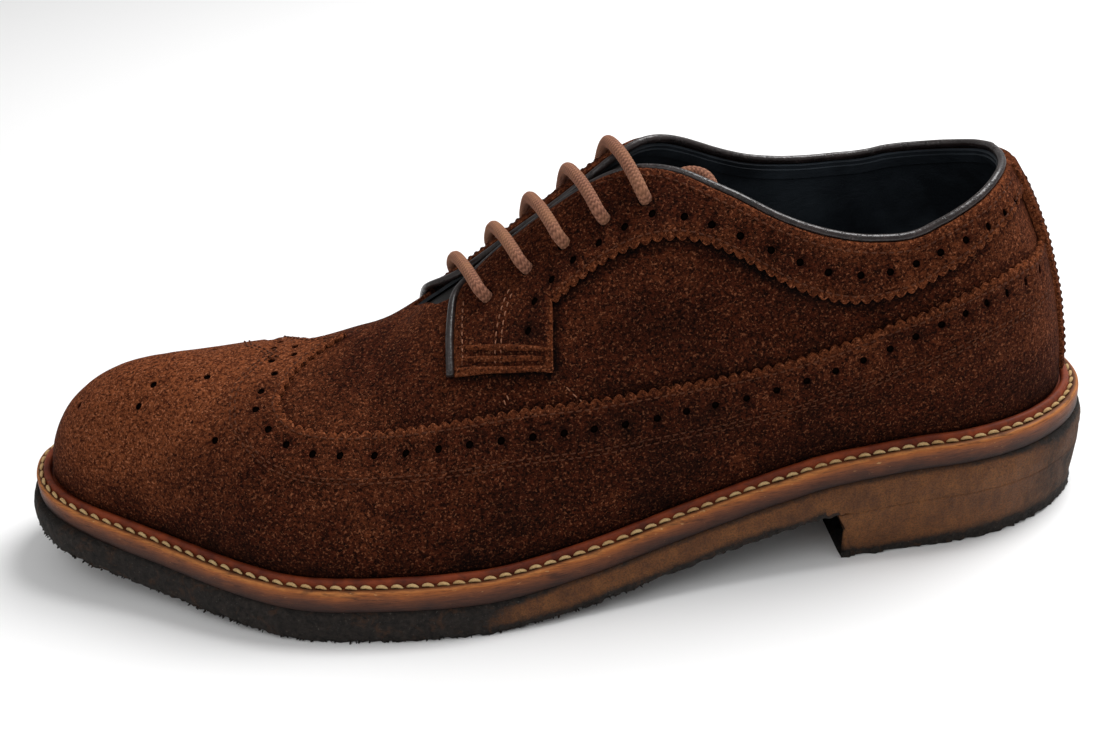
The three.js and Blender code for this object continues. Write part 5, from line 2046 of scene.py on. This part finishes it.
def crumbs(count, seed):
    """Torn shreds of crepe that hang from the worn lower edge."""
    dice = np.random.RandomState(seed)
    walks = np.concatenate([dice.uniform(0.42, 1.0, count), -dice.uniform(0.6, 1.0, count // 2)])
    here = sole_point(walks, bulged(CREPE_EDGE - 0.5)(walks))
    away = unit(sole_point(walks, bulged(CREPE_EDGE + 1.0)(walks)) - here)
    level = underside_at(here[:, 0]) + 0.25
    bodies = []
    for i in range(len(walks)):
        long = dice.uniform(0.3, 0.85)
        thick = dice.uniform(0.16, 0.42)
        start = np.array([*here[i], level[i] + dice.uniform(-0.1, 1.0)])
        sway = dice.uniform(-0.4, 0.4, 3) * long
        end = start + np.array([*away[i] * long, -0.3 * long]) + sway * [1, 1, 0.4]
        end[2] = max(end[2], thick + 0.02)
        middle = (start + end) / 2 + dice.uniform(-0.12, 0.12, 3)
        bodies.append(tube(np.array([start, middle, end]), np.array([thick, thick * 0.9, thick * 0.45]), 5))
    return joined(bodies)


shreds = crumbs(260, 5)
dark_marks = {"soot": np.full(len(shreds[0]), 0.95)}
piece("crepe_shreds", shreds, crepe, marks=dark_marks)

INSOLE_EDGE = -UPPER_WALL - 2 * CLEARANCE
insole = Layer(
    [
        (-WELT_INSET - CLEARANCE, WELT_LOW),
        (-WELT_INSET - CLEARANCE, SEAT_LIFT),
        (INSOLE_EDGE, SEAT_LIFT),
        (INSOLE_EDGE, SEAT_LIFT + INSOLE - 0.6),
        (INSOLE_EDGE - 0.5, SEAT_LIFT + INSOLE),
    ]
)
tread = (insole.row_of < 0) & (insole.lift > SEAT_LIFT + 1)
insole.points[tread, 2] -= np.abs(lumps(insole.points[tread], [(24, 12, 0.5)]))
piece("insole_sock", insole.body(), lining, ["insole"], sharp=60)

# The floor and the light, in metres. Lamps: name, place, width and power.
FLOOR_SIZE = 6
WORLD_LIGHT = 0.42
LAMP_AIM = Vector((0, 0, 0.03))
LAMPS = [
    ("overhead", (0.5, 0.3, 0.98), 0.7, 12.4),
    ("front_left", (-0.45, -0.6, 0.95), 0.9, 2.4),
]
bpy.ops.mesh.primitive_plane_add(size=FLOOR_SIZE)
floor = bpy.context.object
floor.name = "floor"
floor.data.materials.append(floor_finish())

world = bpy.data.worlds.new("soft_studio")
world.use_nodes = True
world.node_tree.nodes["Background"].inputs["Color"].default_value = (1, 1, 1, 1)
world.node_tree.nodes["Background"].inputs["Strength"].default_value = WORLD_LIGHT
bpy.context.scene.world = world


def soft_light(name, place, size, power):
    """A round lamp that shines at the shoe."""
    data = bpy.data.lights.new(name, "AREA")
    data.shape = "DISK"
    data.size = size
    data.energy = power
    lamp = bpy.data.objects.new(name, data)
    lamp.location = place
    lamp.rotation_mode = "QUATERNION"
    lamp.rotation_quaternion = (LAMP_AIM - Vector(place)).to_track_quat("-Z", "Y")
    bpy.context.scene.collection.objects.link(lamp)


for lamp in LAMPS:
    soft_light(*lamp)
bpy.context.scene.view_settings.view_transform = "Standard"
